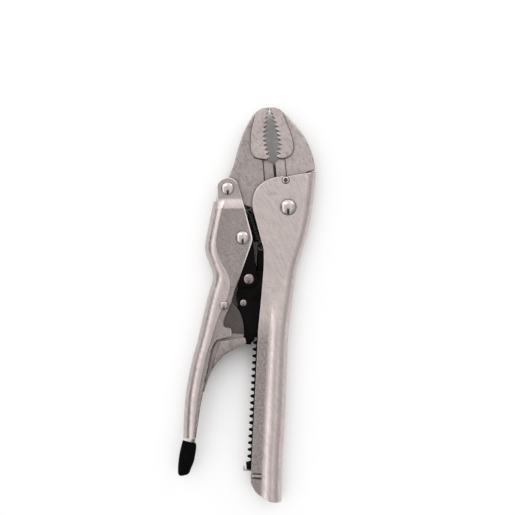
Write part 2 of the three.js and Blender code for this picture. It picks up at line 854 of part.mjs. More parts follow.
function carriagePlate() {
	return plate(carriageShape(), carriageInner, carriageOuter)
		.subtract(pinSlotCutter())
		.subtract(drill(pawlPivot, pawlRivetRadius + seatGap))
		.subtract(drill(guidePinCentre, guidePinRadius + seatGap));
}

function carriageBlock() {
	const across = rackTipAcross - 7;
	const inner = carriageInner - seatGap;
	const block = clipBlock(across, blockTop, 6.5, blockLength, -inner, inner);
	return block.subtract(alongRack(screwRadius + pinGap, blockTop - 2, blockBottom + 2));
}

// A round bar along the rack, on the pressure screw's axis
function alongRack(radius, from, to, segments = 16) {
	const geometry = new THREE.CylinderGeometry(radius, radius, to - from, segments);
	geometry.rotateZ(-rackTilt);
	const middle = byRack(screwCentreAcross, half(from + to));
	return solidOf(geometry.translate(middle.x, middle.y, 0));
}

function pressureScrew() {
	const headTop = blockBottom + seatGap;
	const slot = clipBlock(screwCentreAcross - 4, carriageBottom + 0.1, 8, 3, -0.4, 0.4);
	const shank = alongRack(screwRadius, screwTip, headTop + 1);
	const head = alongRack(carriageInner - 0.2, headTop, carriageBottom + 1.1);
	return joined(shank, head).subtract(slot);
}

function guidePin() {
	const top = carriageOuter - 0.1;
	return turned([[0, -top], [guidePinRadius, -top], [guidePinRadius, top], [0, top]], guidePinCentre, 16);
}

// ---------- locking pawl ----------

function lockingPawl() {
	const shape = new THREE.Shape();
	const pivotAlong = -pawlPivot.x * Math.sin(rackTilt) - pawlPivot.y * Math.cos(rackTilt);
	const gapsBelow = Math.ceil((lastTooth - pivotAlong - pawlReach) / toothPitch - 0.5);
	const firstGap = lastTooth - toothPitch * (gapsBelow + 0.5);
	const pawlTeeth = 1 + Math.floor((pawlFoot - 1.5 - firstGap) / toothPitch);
	const face = rackTipAcross - 1.1;
	shape.absarc(pawlPivot.x, pawlPivot.y, 3.7, Math.PI * 1.15, Math.PI * 0.3, true);
	const to = (across, along) => {
		const at = byRack(across, along);
		shape.lineTo(at.x, at.y);
	};
	to(face - 0.6, firstGap - 2.2);
	for (let tooth = 0; tooth < pawlTeeth; tooth++) {
		const along = firstGap + tooth * toothPitch;
		const bite = pawlBite * (0.4 + 0.3 * tooth);
		to(face - 0.4, along - 1.1);
		to(rackTipAcross + bite, along - 0.2);
		to(rackTipAcross + bite, along + 0.2);
		to(face - 0.4, along + 1.1);
	}
	to(face - 0.8, pawlFoot - 0.4);
	to(face - 4.4, pawlFoot);
	shape.closePath();
	return plate(shape, -rackHalf, rackHalf).subtract(drill(pawlPivot, pawlRivetRadius + pinGap));
}

// ---------- release lever ----------

const noseCentre = vec(linkPivotX - 10.4, linkPivotY - 4.7);
const leverInner = linkInner;
const leverOuter = linkOuter;

function fingerCurve() {
	const curve = new THREE.Path();
	curve.moveTo(-26.6, -86.5);
	curve.splineThru([
		vec(-32.6, -89.6),
		vec(-40.4, -94.2),
		vec(-44.9, -98.9),
		vec(-48.8, -104.6),
		vec(-51.3, -110.5),
		vec(-53.5, -117.5),
	]);
	return curve.getPoints(3);
}

function leverSideShape() {
	const shape = new THREE.Shape();
	shape.moveTo(-28.7, -82.6);
	shape.lineTo(-27.2, -83.6);
	trace(shape, fingerCurve());
	shape.lineTo(-56.2, -117.5);
	shape.splineThru([vec(-52.6, -104), vec(-48.6, -90), vec(-46.6, -76), vec(-46.4, -62.6)]);
	shape.absarc(leverPivot.x, leverPivot.y, 5.5, Math.PI, Math.PI * 0.62, true);
	shape.lineTo(noseCentre.x - 1.6, noseCentre.y + 1);
	shape.absarc(noseCentre.x, noseCentre.y, 1.9, Math.PI * 0.82, -0.1, true);
	shape.lineTo(-36, -58.6);
	shape.splineThru([vec(-35.2, -61.3), vec(-30.9, -66.7), vec(-28.6, -74.3), vec(-28.1, -81.2)]);
	shape.closePath();
	return shape;
}

function raisedTrigger() {
	const shape = new THREE.Shape();
	shape.moveTo(-42.8, -85.6);
	shape.lineTo(-28.8, -83);
	shape.lineTo(-27.4, -83.8);
	trace(shape, fingerCurve().filter((point) => point.y > -103));
	shape.splineThru([vec(-46.2, -95), vec(-42.8, -85.6)]);
	return shape;
}

function leverWeb() {
	const outer = fingerCurve().filter((point) => point.x < -30);
	const inner = outer.map((point) => point.clone().add(vec(-1.6, 1.6))).reverse();
	const shape = new THREE.Shape([...outer, ...inner]);
	return plate(shape, -leverOuter, leverOuter);
}

const tailStart = vec(-53.6, -114);
const tailEnd = vec(leverTailEndX, movingEndY - leverTailReach);

function tailShape(spread = 0) {
	const right = new THREE.SplineCurve([
		tailStart,
		vec(-56.1, -128),
		vec(-58, -141),
		vec(-60, -152),
		vec(tailEnd.x, tailEnd.y + spread * -1),
	]);
	const points = right.getPoints(12);
	const left = points.map((point) => {
		const flare = smoothstep(-point.y, 150, 156) * 2.2;
		return point.clone().add(vec(-leverTailWidth - flare - spread, 0));
	});
	const rightSide = points.map((point) => point.clone().add(vec(spread, 0)));
	return new THREE.Shape([...rightSide, ...left.reverse()]);
}

function releaseLever() {
	return joined(
		platePair(leverSideShape(), leverInner, leverOuter),
		platePair(raisedTrigger(), leverOuter - 0.2, handleOuter - 0.4),
		leverWeb(),
		plate(tailShape(), -leverTailHalf, leverTailHalf),
	).subtract(drill(leverPivot, leverRivetRadius + pinGap));
}

function leverTip() {
	const top = movingEndY - 1.5;
	const bottom = top - tipLength;
	const shape = new THREE.Shape();
	shape.moveTo(-67.4, top + 0.2);
	shape.lineTo(-58.6, top - 2.4);
	shape.splineThru([vec(-59.8, top - 12), vec(-62.4, bottom + 4.2)]);
	shape.quadraticCurveTo(-63.4, bottom + 1.4, -66.4, bottom + 0.6);
	shape.quadraticCurveTo(-70.6, bottom - 1.4, -70.4, bottom + 5.4);
	shape.quadraticCurveTo(-69, top - 8, -67.4, top + 0.2);
	const socketHalf = leverTailHalf + pinGap;
	return forged(shape, tipHalf, 0.8).subtract(plate(tailShape(pinGap), -socketHalf, socketHalf));
}

// ---------- springs ----------

// Extension spring with a hook at each end, from the moving jaw to the rack
function jawSpring() {
	const top = vec(springTopX, springTopY);
	const along = springFoot.clone().sub(top);
	const length = along.length();
	const points = [];
	const hook = (centre, angle) => {
		points.push(new THREE.Vector3(centre + springRadius * Math.cos(angle), 0, springRadius * Math.sin(angle)));
	};
	for (let step = 0; step <= 5; step++) {
		hook(springRadius, THREE.MathUtils.degToRad(80 + 38 * step));
	}
	const coilStart = springRadius + 2.4;
	const coilLength = length - 2 * coilStart;
	const steps = springTurns * 8;
	for (let step = 1; step < steps; step++) {
		const share = step / steps;
		const angle = share * 2 * Math.PI * springTurns - Math.PI / 2;
		const x = coilStart + coilLength * share;
		points.push(new THREE.Vector3(x, springRadius * Math.cos(angle), springRadius * Math.sin(angle)));
	}
	for (let step = 0; step <= 5; step++) {
		hook(length - springRadius, THREE.MathUtils.degToRad(-90 + 38 * step));
	}
	const place = new THREE.Matrix4().makeRotationZ(Math.atan2(along.y, along.x)).setPosition(top.x, top.y, 0);
	const curve = new THREE.CatmullRomCurve3(points.map((point) => point.applyMatrix4(place)));
	return wire(curve, half(springWire), points.length - 1, 5);
}

// Torsion spring on the lever's rivet: one leg bears on the handle's spine, one on the lever's web
function leverSpring() {
	const coilRadius = leverRivetRadius + 1.3;
	const turns = 4;
	const legLength = 9;
	const rise = 1.15;
	const at = (t) => {
		const legShare = 0.12;
		const low = -half(turns * rise);
		if (t < legShare) {
			const out = legLength * (1 - t / legShare);
			return new THREE.Vector3(leverPivot.x - coilRadius, leverPivot.y + out, low);
		}
		if (t > 1 - legShare) {
			const out = legLength * ((t - 1 + legShare) / legShare);
			return new THREE.Vector3(leverPivot.x - coilRadius, leverPivot.y - out, -low);
		}
		const share = (t - legShare) / (1 - 2 * legShare);
		const angle = Math.PI + share * 2 * Math.PI * turns;
		const x = leverPivot.x + coilRadius * Math.cos(angle);
		const y = leverPivot.y + coilRadius * Math.sin(angle);
		return new THREE.Vector3(x, y, low + share * turns * rise);
	};
	return wire(new Course(at), 0.45, 46);
}

// ---------- assembly ----------

add('fixed_handle', geometryOf(fixedHandle()), nickel);
add('fixed_jaw', geometryOf(fixedJaw()), forgedSteel);
add('moving_jaw', geometryOf(movingJaw()), forgedSteel);
add('moving_handle', geometryOf(movingHandle()), nickel);
const jawRivet = rivet(vec(0, 0), jawRivetRadius, jawRivetHead, cheekOuter, domeRise + 0.6, restHalf, 24);
add('jaw_rivet', jawRivet, polished);
const handleRivet = rivet(handlePivot, handleRivetRadius, handleRivetHead, earOuter, domeRise, restHalf);
add('handle_rivet', handleRivet, polished);
const toggleRivet = rivet(togglePivot, toggleRivetRadius, toggleRivetHead, handleOuter, domeRise, restHalf);
add('toggle_rivet', toggleRivet, polished);
const linkRivet = rivet(linkPivot, linkRivetRadius, linkRivetHead, linkOuter, 1.2, linkOuter + 1.2);
add('link_rivet', linkRivet, polished);
const leverRivet = rivet(leverPivot, leverRivetRadius, leverRivetHead, handleOuter, 1.1, restHalf, 16);
add('lever_rivet', leverRivet, polished);
const pawlRivet = rivet(pawlPivot, pawlRivetRadius, pawlRivetHead, carriageOuter, 0.9, carriageOuter + 1, 16);
add('pawl_rivet', pawlRivet, polished);
add('roll_pin', turned([
	[rollPinBore, -cheekOuter - 0.2],
	[rollPinRadius, -cheekOuter - 0.2],
	[rollPinRadius, cheekOuter + 0.2],
	[rollPinBore, cheekOuter + 0.2],
	[rollPinBore, -cheekOuter - 0.2],
], rollPin, 18), polished);
add('rack', geometryOf(rack()), blackSteel);
add('rack_clip', geometryOf(rackClip()), polished);
add('rack_rivet', turned([
	[0, -cheekOuter],
	[rackRivetRadius, -cheekOuter],
	[rackRivetRadius, cheekOuter],
	[0, cheekOuter],
], rackRivetCentre, 18), nickel);
add('front_link', geometryOf(linkPlate()), blackSteel);
add('rear_link', geometryOf(linkPlate().mirror([0, 0, 1])), blackSteel);
add('front_carriage_plate', geometryOf(carriagePlate()), blackSteel);
add('rear_carriage_plate', geometryOf(carriagePlate().mirror([0, 0, 1])), blackSteel);
add('carriage_block', geometryOf(carriageBlock()), blackSteel);
add('guide_pin', guidePin(), blackSteel);
add('pressure_screw', geometryOf(pressureScrew()), blackSteel);
add('locking_pawl', geometryOf(lockingPawl()), blackSteel);
add('release_lever', geometryOf(releaseLever()), leverSteel);
add('lever_tip', geometryOf(leverTip()), vinyl);
add('jaw_spring', jawSpring(), blackSteel);
add('lever_spring', leverSpring(), leverSteel);

export default pliers;
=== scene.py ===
"""Locking pliers: forged jaws, folded sheet handles, a rack, a toggle and a release lever."""
import json
import math

import bpy
from bpy.props import FloatProperty, FloatVectorProperty, PointerProperty
from mathutils import Matrix, Vector


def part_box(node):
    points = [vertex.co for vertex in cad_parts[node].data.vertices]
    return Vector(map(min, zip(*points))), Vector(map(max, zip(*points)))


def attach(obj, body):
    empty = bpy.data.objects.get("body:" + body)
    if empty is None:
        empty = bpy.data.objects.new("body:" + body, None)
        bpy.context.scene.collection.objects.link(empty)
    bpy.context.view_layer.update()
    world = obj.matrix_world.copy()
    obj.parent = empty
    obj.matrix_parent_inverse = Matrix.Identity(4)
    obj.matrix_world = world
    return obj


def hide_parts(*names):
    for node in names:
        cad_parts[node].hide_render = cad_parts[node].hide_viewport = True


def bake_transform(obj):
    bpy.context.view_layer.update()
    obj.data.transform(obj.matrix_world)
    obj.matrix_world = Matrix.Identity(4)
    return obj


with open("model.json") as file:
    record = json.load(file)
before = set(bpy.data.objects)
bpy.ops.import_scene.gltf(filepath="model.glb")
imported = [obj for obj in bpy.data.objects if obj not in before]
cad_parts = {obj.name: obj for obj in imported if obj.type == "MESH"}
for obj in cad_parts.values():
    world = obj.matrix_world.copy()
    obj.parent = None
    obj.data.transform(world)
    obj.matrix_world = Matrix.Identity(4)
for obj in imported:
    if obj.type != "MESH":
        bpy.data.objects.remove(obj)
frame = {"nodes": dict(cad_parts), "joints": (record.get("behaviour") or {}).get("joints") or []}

bl_info = {
    "name": "Locking Pliers",
    "version": (1, 0, 0),
    "blender": (4, 5, 0),
    "location": "3D View > Sidebar > Pliers",
    "description": "Builds the pieces and finishes of a pair of self-adjusting locking pliers",
    "category": "Add Mesh",
}

# Places are in millimetres from the jaw's pivot, and levels from the middle plane. MM makes them metres.
MM = 0.001


# ---------- places taken from the frame ----------

def pivot(joint):
    """A joint's place across the tool, in millimetres."""
    place = next(j for j in frame["joints"] if j["name"] == joint)["pos_m"]
    return Vector((place[0] / MM, place[1] / MM))


def middle_of(node):
    """The middle of a node's box across the tool, in millimetres."""
    low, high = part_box(node)
    return Vector(((low[0] + high[0]) / 2 / MM, (low[1] + high[1]) / 2 / MM))


def level(node, corner=1):
    """How far a node's face stands from the tool's middle plane, in millimetres."""
    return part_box(node)[corner][2] / MM - MIDDLE


MIDDLE = (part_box("rack")[0][2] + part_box("rack")[1][2]) / 2 / MM
HANDLE_PIVOT = pivot("handle_swing")
TOGGLE_PIVOT = pivot("link_swing")
LEVER_PIVOT = pivot("lever_swing")
PAWL_PIVOT = pivot("pawl_swing")
LINK_PIVOT = middle_of("link_rivet")
ROLL_PIN = middle_of("roll_pin")
RACK_DIRECTION = Vector(next(j for j in frame["joints"] if j["name"] == "carriage_slide")["axis"][:2])
RACK_ACROSS = Vector((-RACK_DIRECTION.y, RACK_DIRECTION.x))
RACK_TILT = math.degrees(math.atan2(RACK_ACROSS.y, RACK_ACROSS.x))
BULGE_LEVEL = level("fixed_handle")
CHEEK_LEVEL = level("rack_rivet")
HANDLE_LEVEL = level("moving_handle")
HANDLE_RIVET_RISE = 1.8
EAR_LEVEL = level("handle_rivet") - HANDLE_RIVET_RISE
JAW_LEVEL = 4.7
PAD_LEVEL = level("moving_jaw")


# ---------- settings ----------

class SheetSettings(bpy.types.PropertyGroup):
    """Sizes of the two folded sheet handles."""

    housing_sheet: FloatProperty(
        name="Housing sheet",
        description="Thickness of the fixed handle's sheet",
        default=0.002, min=0.001, max=0.003, subtype="DISTANCE", unit="LENGTH",
    )
    handle_sheet: FloatProperty(
        name="Handle sheet",
        description="Thickness of the moving handle's sheet",
        default=0.0018, min=0.001, max=0.003, subtype="DISTANCE", unit="LENGTH",
    )
    rim: FloatProperty(
        name="Punched rim",
        description="Rounding along the cut edges of the sheets",
        default=0.00042, min=0.0001, max=0.0008, subtype="DISTANCE", unit="LENGTH",
    )
    coined: FloatProperty(
        name="Coined depth",
        description="How far the moving handle's flat faces are pressed in",
        default=0.00045, min=0.0, max=0.0008, subtype="DISTANCE", unit="LENGTH",
    )
    panel_depth: FloatProperty(
        name="Panel depth",
        description="Depth of the plain pressed panel on the housing",
        default=0.00012, min=0.0, max=0.0006, subtype="DISTANCE", unit="LENGTH",
    )


class ForgingSettings(bpy.types.PropertyGroup):
    """Sizes of the forged jaws."""

    grain: FloatProperty(
        name="Forging grain",
        description="Size of the small cells that the forgings are re-skinned with",
        default=0.00036, min=0.0003, max=0.001, subtype="DISTANCE", unit="LENGTH",
    )
    edge: FloatProperty(
        name="Forged edge",
        description="Rounding round the forgings' faces",
        default=0.0008, min=0.0002, max=0.0015, subtype="DISTANCE", unit="LENGTH",
    )
    tooth_pitch: FloatProperty(
        name="Tooth pitch",
        description="Distance between the teeth of the pads",
        default=0.0028, min=0.0015, max=0.004, subtype="DISTANCE", unit="LENGTH",
    )
    tooth_depth: FloatProperty(
        name="Tooth depth",
        description="Depth of the teeth of the pads",
        default=0.0026, min=0.0005, max=0.003, subtype="DISTANCE", unit="LENGTH",
    )


class FinishSettings(bpy.types.PropertyGroup):
    """Colours and gloss of the finishes."""

    nickel: FloatVectorProperty(
        name="Nickel", description="Colour of the satin nickel plate",
        default=(0.62, 0.545, 0.53), size=3, min=0.0, max=1.0, subtype="COLOR",
    )
    steel: FloatVectorProperty(
        name="Rivet steel", description="Colour of the polished rivets",
        default=(0.53, 0.495, 0.485), size=3, min=0.0, max=1.0, subtype="COLOR",
    )
    black: FloatVectorProperty(
        name="Black oxide", description="Colour of the oiled black steel",
        default=(0.0025, 0.002, 0.002), size=3, min=0.0, max=1.0, subtype="COLOR",
    )
    vinyl: FloatVectorProperty(
        name="Vinyl", description="Colour of the dipped lever tip",
        default=(0.0012, 0.0012, 0.0012), size=3, min=0.0, max=1.0, subtype="COLOR",
    )
    satin: FloatProperty(
        name="Satin", description="Roughness of the nickel plate",
        default=0.3, min=0.05, max=0.8, subtype="FACTOR",
    )


# ---------- hand tools ----------

def deselect():
    """Leaves edit mode, with nothing selected."""
    if bpy.context.object and bpy.context.object.mode != "OBJECT":
        bpy.ops.object.mode_set(mode="OBJECT")
    bpy.ops.object.select_all(action="DESELECT")


def choose(obj):
    """Selects one object and makes it active."""
    deselect()
    obj.select_set(True)
    bpy.context.view_layer.objects.active = obj
    return obj


def edit(obj, all_of_it=True):
    """Enters edit mode on faces, with all of them or none selected."""
    choose(obj)
    bpy.ops.object.mode_set(mode="EDIT")
    bpy.ops.mesh.select_mode(type="FACE")
    bpy.ops.mesh.select_all(action="SELECT" if all_of_it else "DESELECT")


def done():
    """Leaves edit mode."""
    bpy.ops.object.mode_set(mode="OBJECT")


def pick_faces(obj, test):
    """Selects the faces that pass a test, in edit mode."""
    edit(obj, False)
    done()
    for face in obj.data.polygons:
        face.select = test(face)
    bpy.ops.object.mode_set(mode="EDIT")


def apply_all(obj):
    """Applies every modifier, in order."""
    choose(obj)
    for modifier in list(obj.modifiers):
        bpy.ops.object.modifier_apply(modifier=modifier.name)


def settle(obj):
    """Puts the object at the origin, with its place in its mesh."""
    choose(obj)
    bpy.ops.object.transform_apply(location=True, rotation=True, scale=True)


def clean(obj, distance=0.005):
    """Merges doubled vertices, and turns the faces outwards."""
    edit(obj)
    bpy.ops.mesh.remove_doubles(threshold=distance * MM)
    bpy.ops.mesh.normals_make_consistent(inside=False)
    done()


def soften(obj, angle=40):
    """Shades smooth across edges that are flatter than an angle."""
    choose(obj)
    bpy.ops.object.shade_smooth_by_angle(angle=math.radians(angle))


def finish_piece(obj, body, slot, finishes, *nodes):
    """Gives a piece its finishes and its body, and hides the nodes that it stands for."""
    slots = obj.data.materials
    for index, name in enumerate(finishes):
        if index < len(slots):
            slots[index] = finish_of(name)
        else:
            slots.append(finish_of(name))
    while len(slots) > len(finishes):
        slots.pop()
    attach(obj, body)
    if nodes:
        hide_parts(*nodes)
    return obj


def cut(obj, tool, operation="DIFFERENCE"):
    """Cuts obj with tool, or welds tool to it, and removes the tool."""
    choose(obj)
    bpy.ops.object.modifier_add(type="BOOLEAN")
    modifier = obj.modifiers[-1]
    modifier.operation = operation
    modifier.solver = "MANIFOLD"
    modifier.object = tool
    bpy.ops.object.modifier_apply(modifier=modifier.name)
    bpy.data.objects.remove(tool)


def weld(obj, tool):
    """Joins tool to obj as one closed solid."""
    cut(obj, tool, "UNION")


def round_edges(obj, width, segments=2, angle=30):
    """Rounds the edges that are sharper than an angle."""
    choose(obj)
    bpy.ops.object.modifier_add(type="BEVEL")
    bevel = obj.modifiers[-1]
    bevel.limit_method = "ANGLE"
    bevel.angle_limit = math.radians(angle)
    bevel.width = width * MM
    bevel.segments = segments
    bevel.use_clamp_overlap = True
    apply_all(obj)


# ---------- lines and places ----------

def smooth(points, steps=8):
    """Points along a smooth line through the given ones."""
    ends = [points[0], *points, points[-1]]
    line = []
    for before, start, end, after in zip(ends, ends[1:], ends[2:], ends[3:]):
        before, start, end, after = (Vector(point) for point in (before, start, end, after))
        for step in range(steps):
            t = step / steps
            line.append(0.5 * (
                2 * start + (end - before) * t
                + (2 * before - 5 * start + 4 * end - after) * t ** 2
                + (3 * start - before - 3 * end + after) * t ** 3
            ))
    line.append(Vector(points[-1]))
    return line


def bowed(start, through, end, steps=60):
    """Points along a bow that leans towards a third point."""
    start, through, end = Vector(start), Vector(through), Vector(end)
    shares = [step / steps for step in range(steps + 1)]
    return [start * (1 - t) ** 2 + through * 2 * t * (1 - t) + end * t * t for t in shares]


def arc(centre, radius, start, end, steps=24):
    """Points round an arc, with its angles in degrees."""
    angles = [math.radians(start + (end - start) * step / steps) for step in range(steps + 1)]
    return [Vector((centre[0] + radius * math.cos(a), centre[1] + radius * math.sin(a))) for a in angles]


def ring(centre, radius, steps=40):
    """Points round a full circle."""
    return arc(centre, radius, 0, 360, steps)[:-1]


def by_rack(across, along):
    """A point across the rack and along it, away from the jaws."""
    return RACK_ACROSS * across + RACK_DIRECTION * along


def bend_over(value, start, end):
    """From 0 to 1 in two equal arcs, as sheet metal steps over a die."""
    share = min(max((value - start) / (end - start), 0), 1)
    return 2 * share ** 2 if share < 0.5 else 1 - 2 * (1 - share) ** 2


def ease(value, low, high):
    """From 0 at low to 1 at high, with soft ends."""
    t = min(max((value - low) / (high - low), 0.0), 1.0)
    return t * t * (3 - 2 * t)


def ramp(value, low, high):
    """A straight rise with short rounded ends."""
    soft = 0.08
    t = (value - low) / (high - low)
    return sum(min(max(t + shift, 0.0), 1.0) for shift in (-soft, -soft / 2, 0, soft / 2, soft)) / 5


def mix(a, b, share):
    """The number that lies a share of the way from a to b."""
    return a + (b - a) * share


def across_at(line, y):
    """Where a line that runs down the tool crosses the level y."""
    for upper, lower in zip(line, line[1:]):
        if lower[1] <= y:
            share = (upper[1] - y) / max(upper[1] - lower[1], 1e-9)
            return mix(upper[0], lower[0], max(share, 0.0))
    return line[-1][0]


def height_at(line, x):
    """How high a line that runs to the left or right stands at x."""
    points = sorted((tuple(point) for point in line), key=lambda point: point[0])
    if x <= points[0][0]:
        return points[0][1]
    for left, right in zip(points, points[1:]):
        if right[0] >= x:
            return mix(left[1], right[1], (x - left[0]) / max(right[0] - left[0], 1e-9))
    return points[-1][1]


def spaced(line, step):
    """Points spaced evenly along a line, about a step apart."""
    line = [Vector(point) for point in line]
    runs = [(b - a).length for a, b in zip(line, line[1:])]
    count = max(round(sum(runs) / step), 1)
    step = sum(runs) / count
    points = [line[0]]
    passed = 0.0
    for start, end, run in zip(line, line[1:], runs):
        while len(points) < count and len(points) * step <= passed + run:
            points.append(start.lerp(end, (len(points) * step - passed) / run))
        passed += run
    points.append(line[-1])
    return points


def run_to(inward, bend):
    """The run from the spine, round the bend and along the flat, to a place inward of the bend's centre."""
    if inward > 0:
        return bend * math.pi / 2 + inward
    return math.acos(min(-inward / bend, 1)) * bend


def run_at(away, spans, marks):
    """The stretch of sheet that a column lies in, and how far from the spine it lies."""
    index = 0
    while index < len(spans) - 1 and away > spans[index]:
        away -= spans[index]
        index += 1
    return index, mix(marks[index], marks[index + 1], away / spans[index])


def fitted(marks, least=0.3):
    """Marks along a sheet, kept in order and apart up to the last one."""
    count = len(marks) - 1
    kept = [marks[0]]
    for index in range(1, count):
        low = kept[-1] + least
        high = marks[-1] - least * (count - index)
        kept.append(min(max(marks[index], low), high))
    kept.append(marks[-1])
    return kept


# ---------- blanks ----------

def line_curve(name, lines, flat):
    """A curve of straight runs through points, either flat and filled or an open wire."""
    deselect()
    bpy.ops.curve.primitive_bezier_circle_add(radius=0.01)
    obj = bpy.context.object
    obj.name = name
    curve = obj.data
    curve.splines.clear()
    curve.dimensions = "2D" if flat else "3D"
    curve.fill_mode = "BOTH" if flat else "FULL"
    for line in lines:
        spline = curve.splines.new("POLY")
        spline.points.add(len(line) - 1)
        for point, place in zip(spline.points, line):
            height = 0 if flat else MIDDLE + place[2]
            point.co = (place[0] * MM, place[1] * MM, height * MM, 1)
        spline.use_cyclic_u = flat
    return obj


def plate(name, outlines, low, high, edge=0.3, rounds=3):
    """A flat piece between two levels: the first outline is its rim, and the others are its holes."""
    obj = line_curve(name, outlines, True)
    obj.data.extrude = ((high - low) / 2 - edge) * MM
    obj.data.bevel_depth = edge * MM
    obj.data.bevel_resolution = rounds
    obj.data.offset = -edge * MM
    bpy.ops.object.convert(target="MESH")
    obj = bpy.context.object
    obj.location.z = (MIDDLE + (low + high) / 2) * MM
    settle(obj)
    clean(obj)
    return obj


def bar(name, start, end, width, low, high, edge=0.2):
    """A straight bar between two points, with its ends rounded."""
    start, end = Vector(start), Vector(end)
    turn = math.degrees(math.atan2(end.y - start.y, end.x - start.x))
    outline = [
        *arc(end, width / 2, turn - 90, turn + 90, 12),
        *arc(start, width / 2, turn + 90, turn + 270, 12),
    ]
    return plate(name, [outline], low, high, edge, 2)


def end_in_rings(obj, side, radius, rings):
    """Insets and raises one end of a round blank, ring by ring; a ring is a radius and a level."""
    top = max(side * (vertex.co.z / MM - MIDDLE) for vertex in obj.data.vertices)
    pick_faces(obj, lambda face: face.normal.z * side > 0.9)
    for next_radius, height in rings:
        bpy.ops.mesh.inset(thickness=(radius - next_radius) * MM, depth=(height - top) * MM)
        radius, top = next_radius, height
    done()


def round_blank(name, centre, radius, low, high, vertices=64):
    """A round bar between two levels."""
    deselect()
    bpy.ops.mesh.primitive_cylinder_add(
        vertices=vertices, radius=radius * MM, depth=(high - low) * MM,
        location=(centre[0] * MM, centre[1] * MM, (MIDDLE + (low + high) / 2) * MM),
    )
    obj = bpy.context.object
    obj.name = name
    settle(obj)
    return obj


def wire(name, points, radius, sides=3):
    """A round wire along a line of points."""
    curve = line_curve(name, [points], False).data
    curve.bevel_depth = radius * MM
    curve.bevel_resolution = sides
    curve.use_fill_caps = True
    bpy.ops.object.convert(target="MESH")
    obj = bpy.context.object
    clean(obj)
    soften(obj)
    return obj


BAND, COINED, RIM_HIGHLIGHT, EAR = range(4)


def bent_sheet(name, columns, rows, place, sheet, rim, finish=None, removed=None):
    """A blank of sheet metal, bent to place(column, row), then given its wall and its punched rims.

    Columns count from the open edge behind, over the spine, to the open edge in front.
    """
    deselect()
    bpy.ops.mesh.primitive_grid_add(x_subdivisions=columns, y_subdivisions=rows, size=2)
    obj = bpy.context.object
    obj.name = name
    for _ in (BAND, COINED, RIM_HIGHLIGHT, EAR):
        obj.data.materials.append(None)

    def counted(spot):
        """The column and the row that a spot on the flat blank lies in."""
        return (spot.x + 1) / 2 * columns, (1 - spot.y) / 2 * rows

    if finish:
        for face in obj.data.polygons:
            face.material_index = finish(*counted(face.center))
    if removed:
        pick_faces(obj, lambda face: removed(*counted(face.center)))
        bpy.ops.mesh.delete(type="FACE")
        done()
    for vertex in obj.data.vertices:
        x, y, z = place(*(round(number) for number in counted(vertex.co)))
        vertex.co = (x * MM, y * MM, (MIDDLE + z) * MM)
    edit(obj)
    bpy.ops.mesh.remove_doubles(threshold=0.001 * MM)
    done()
    front = max(obj.data.polygons, key=lambda face: face.center.z)
    if front.normal.z < 0:
        edit(obj)
        bpy.ops.mesh.flip_normals()
        done()
    bpy.ops.object.modifier_add(type="SOLIDIFY")
    wall = obj.modifiers[-1]
    wall.thickness = sheet
    wall.offset = -1
    wall.use_even_offset = False
    bpy.ops.object.modifier_add(type="BEVEL")
    bevel = obj.modifiers[-1]
    bevel.limit_method = "ANGLE"
    bevel.angle_limit = math.radians(55)
    bevel.width = rim
    bevel.segments = 3
    # The rounded rims take the rim finish, which paints a highlight along them.
    bevel.material = RIM_HIGHLIGHT
    bevel.use_clamp_overlap = False
    apply_all(obj)
    return obj


def copied(node, name):
    """A copy of a node's mesh, merged, with its flat faces whole again."""
    choose(frame["nodes"][node])
    bpy.ops.object.duplicate()
    obj = bpy.context.object
    obj.name = name
    obj.parent = None
    for key in list(obj.keys()):
        if key.startswith("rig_"):
            del obj[key]
    edit(obj)
    bpy.ops.mesh.remove_doubles(threshold=0.01 * MM)
    bpy.ops.mesh.dissolve_limited(angle_limit=math.radians(0.6))
    done()
    return obj


# ---------- finishes ----------

def add_node(tree, kind, inputs, **settings):
    """Adds a shader node; each input is given a value, or the output that feeds it."""
    node = tree.nodes.new("ShaderNode" + kind)
    for name, value in settings.items():
        setattr(node, name, value)
    for socket, value in inputs.items():
        if isinstance(value, bpy.types.NodeSocket):
            tree.links.new(value, node.inputs[socket])
        else:
            node.inputs[socket].default_value = value
    return node


def ranged(tree, value, low, high, to_low, to_high, slope="LINEAR"):
    """Turns one range of values into another."""
    return add_node(tree, "MapRange", {
        "Value": value, "From Min": low, "From Max": high, "To Min": to_low, "To Max": to_high,
    }, interpolation_type=slope).outputs["Result"]


def combined(tree, operation, first, second):
    """Puts two values together."""
    return add_node(tree, "Math", {0: first, 1: second}, operation=operation).outputs["Value"]


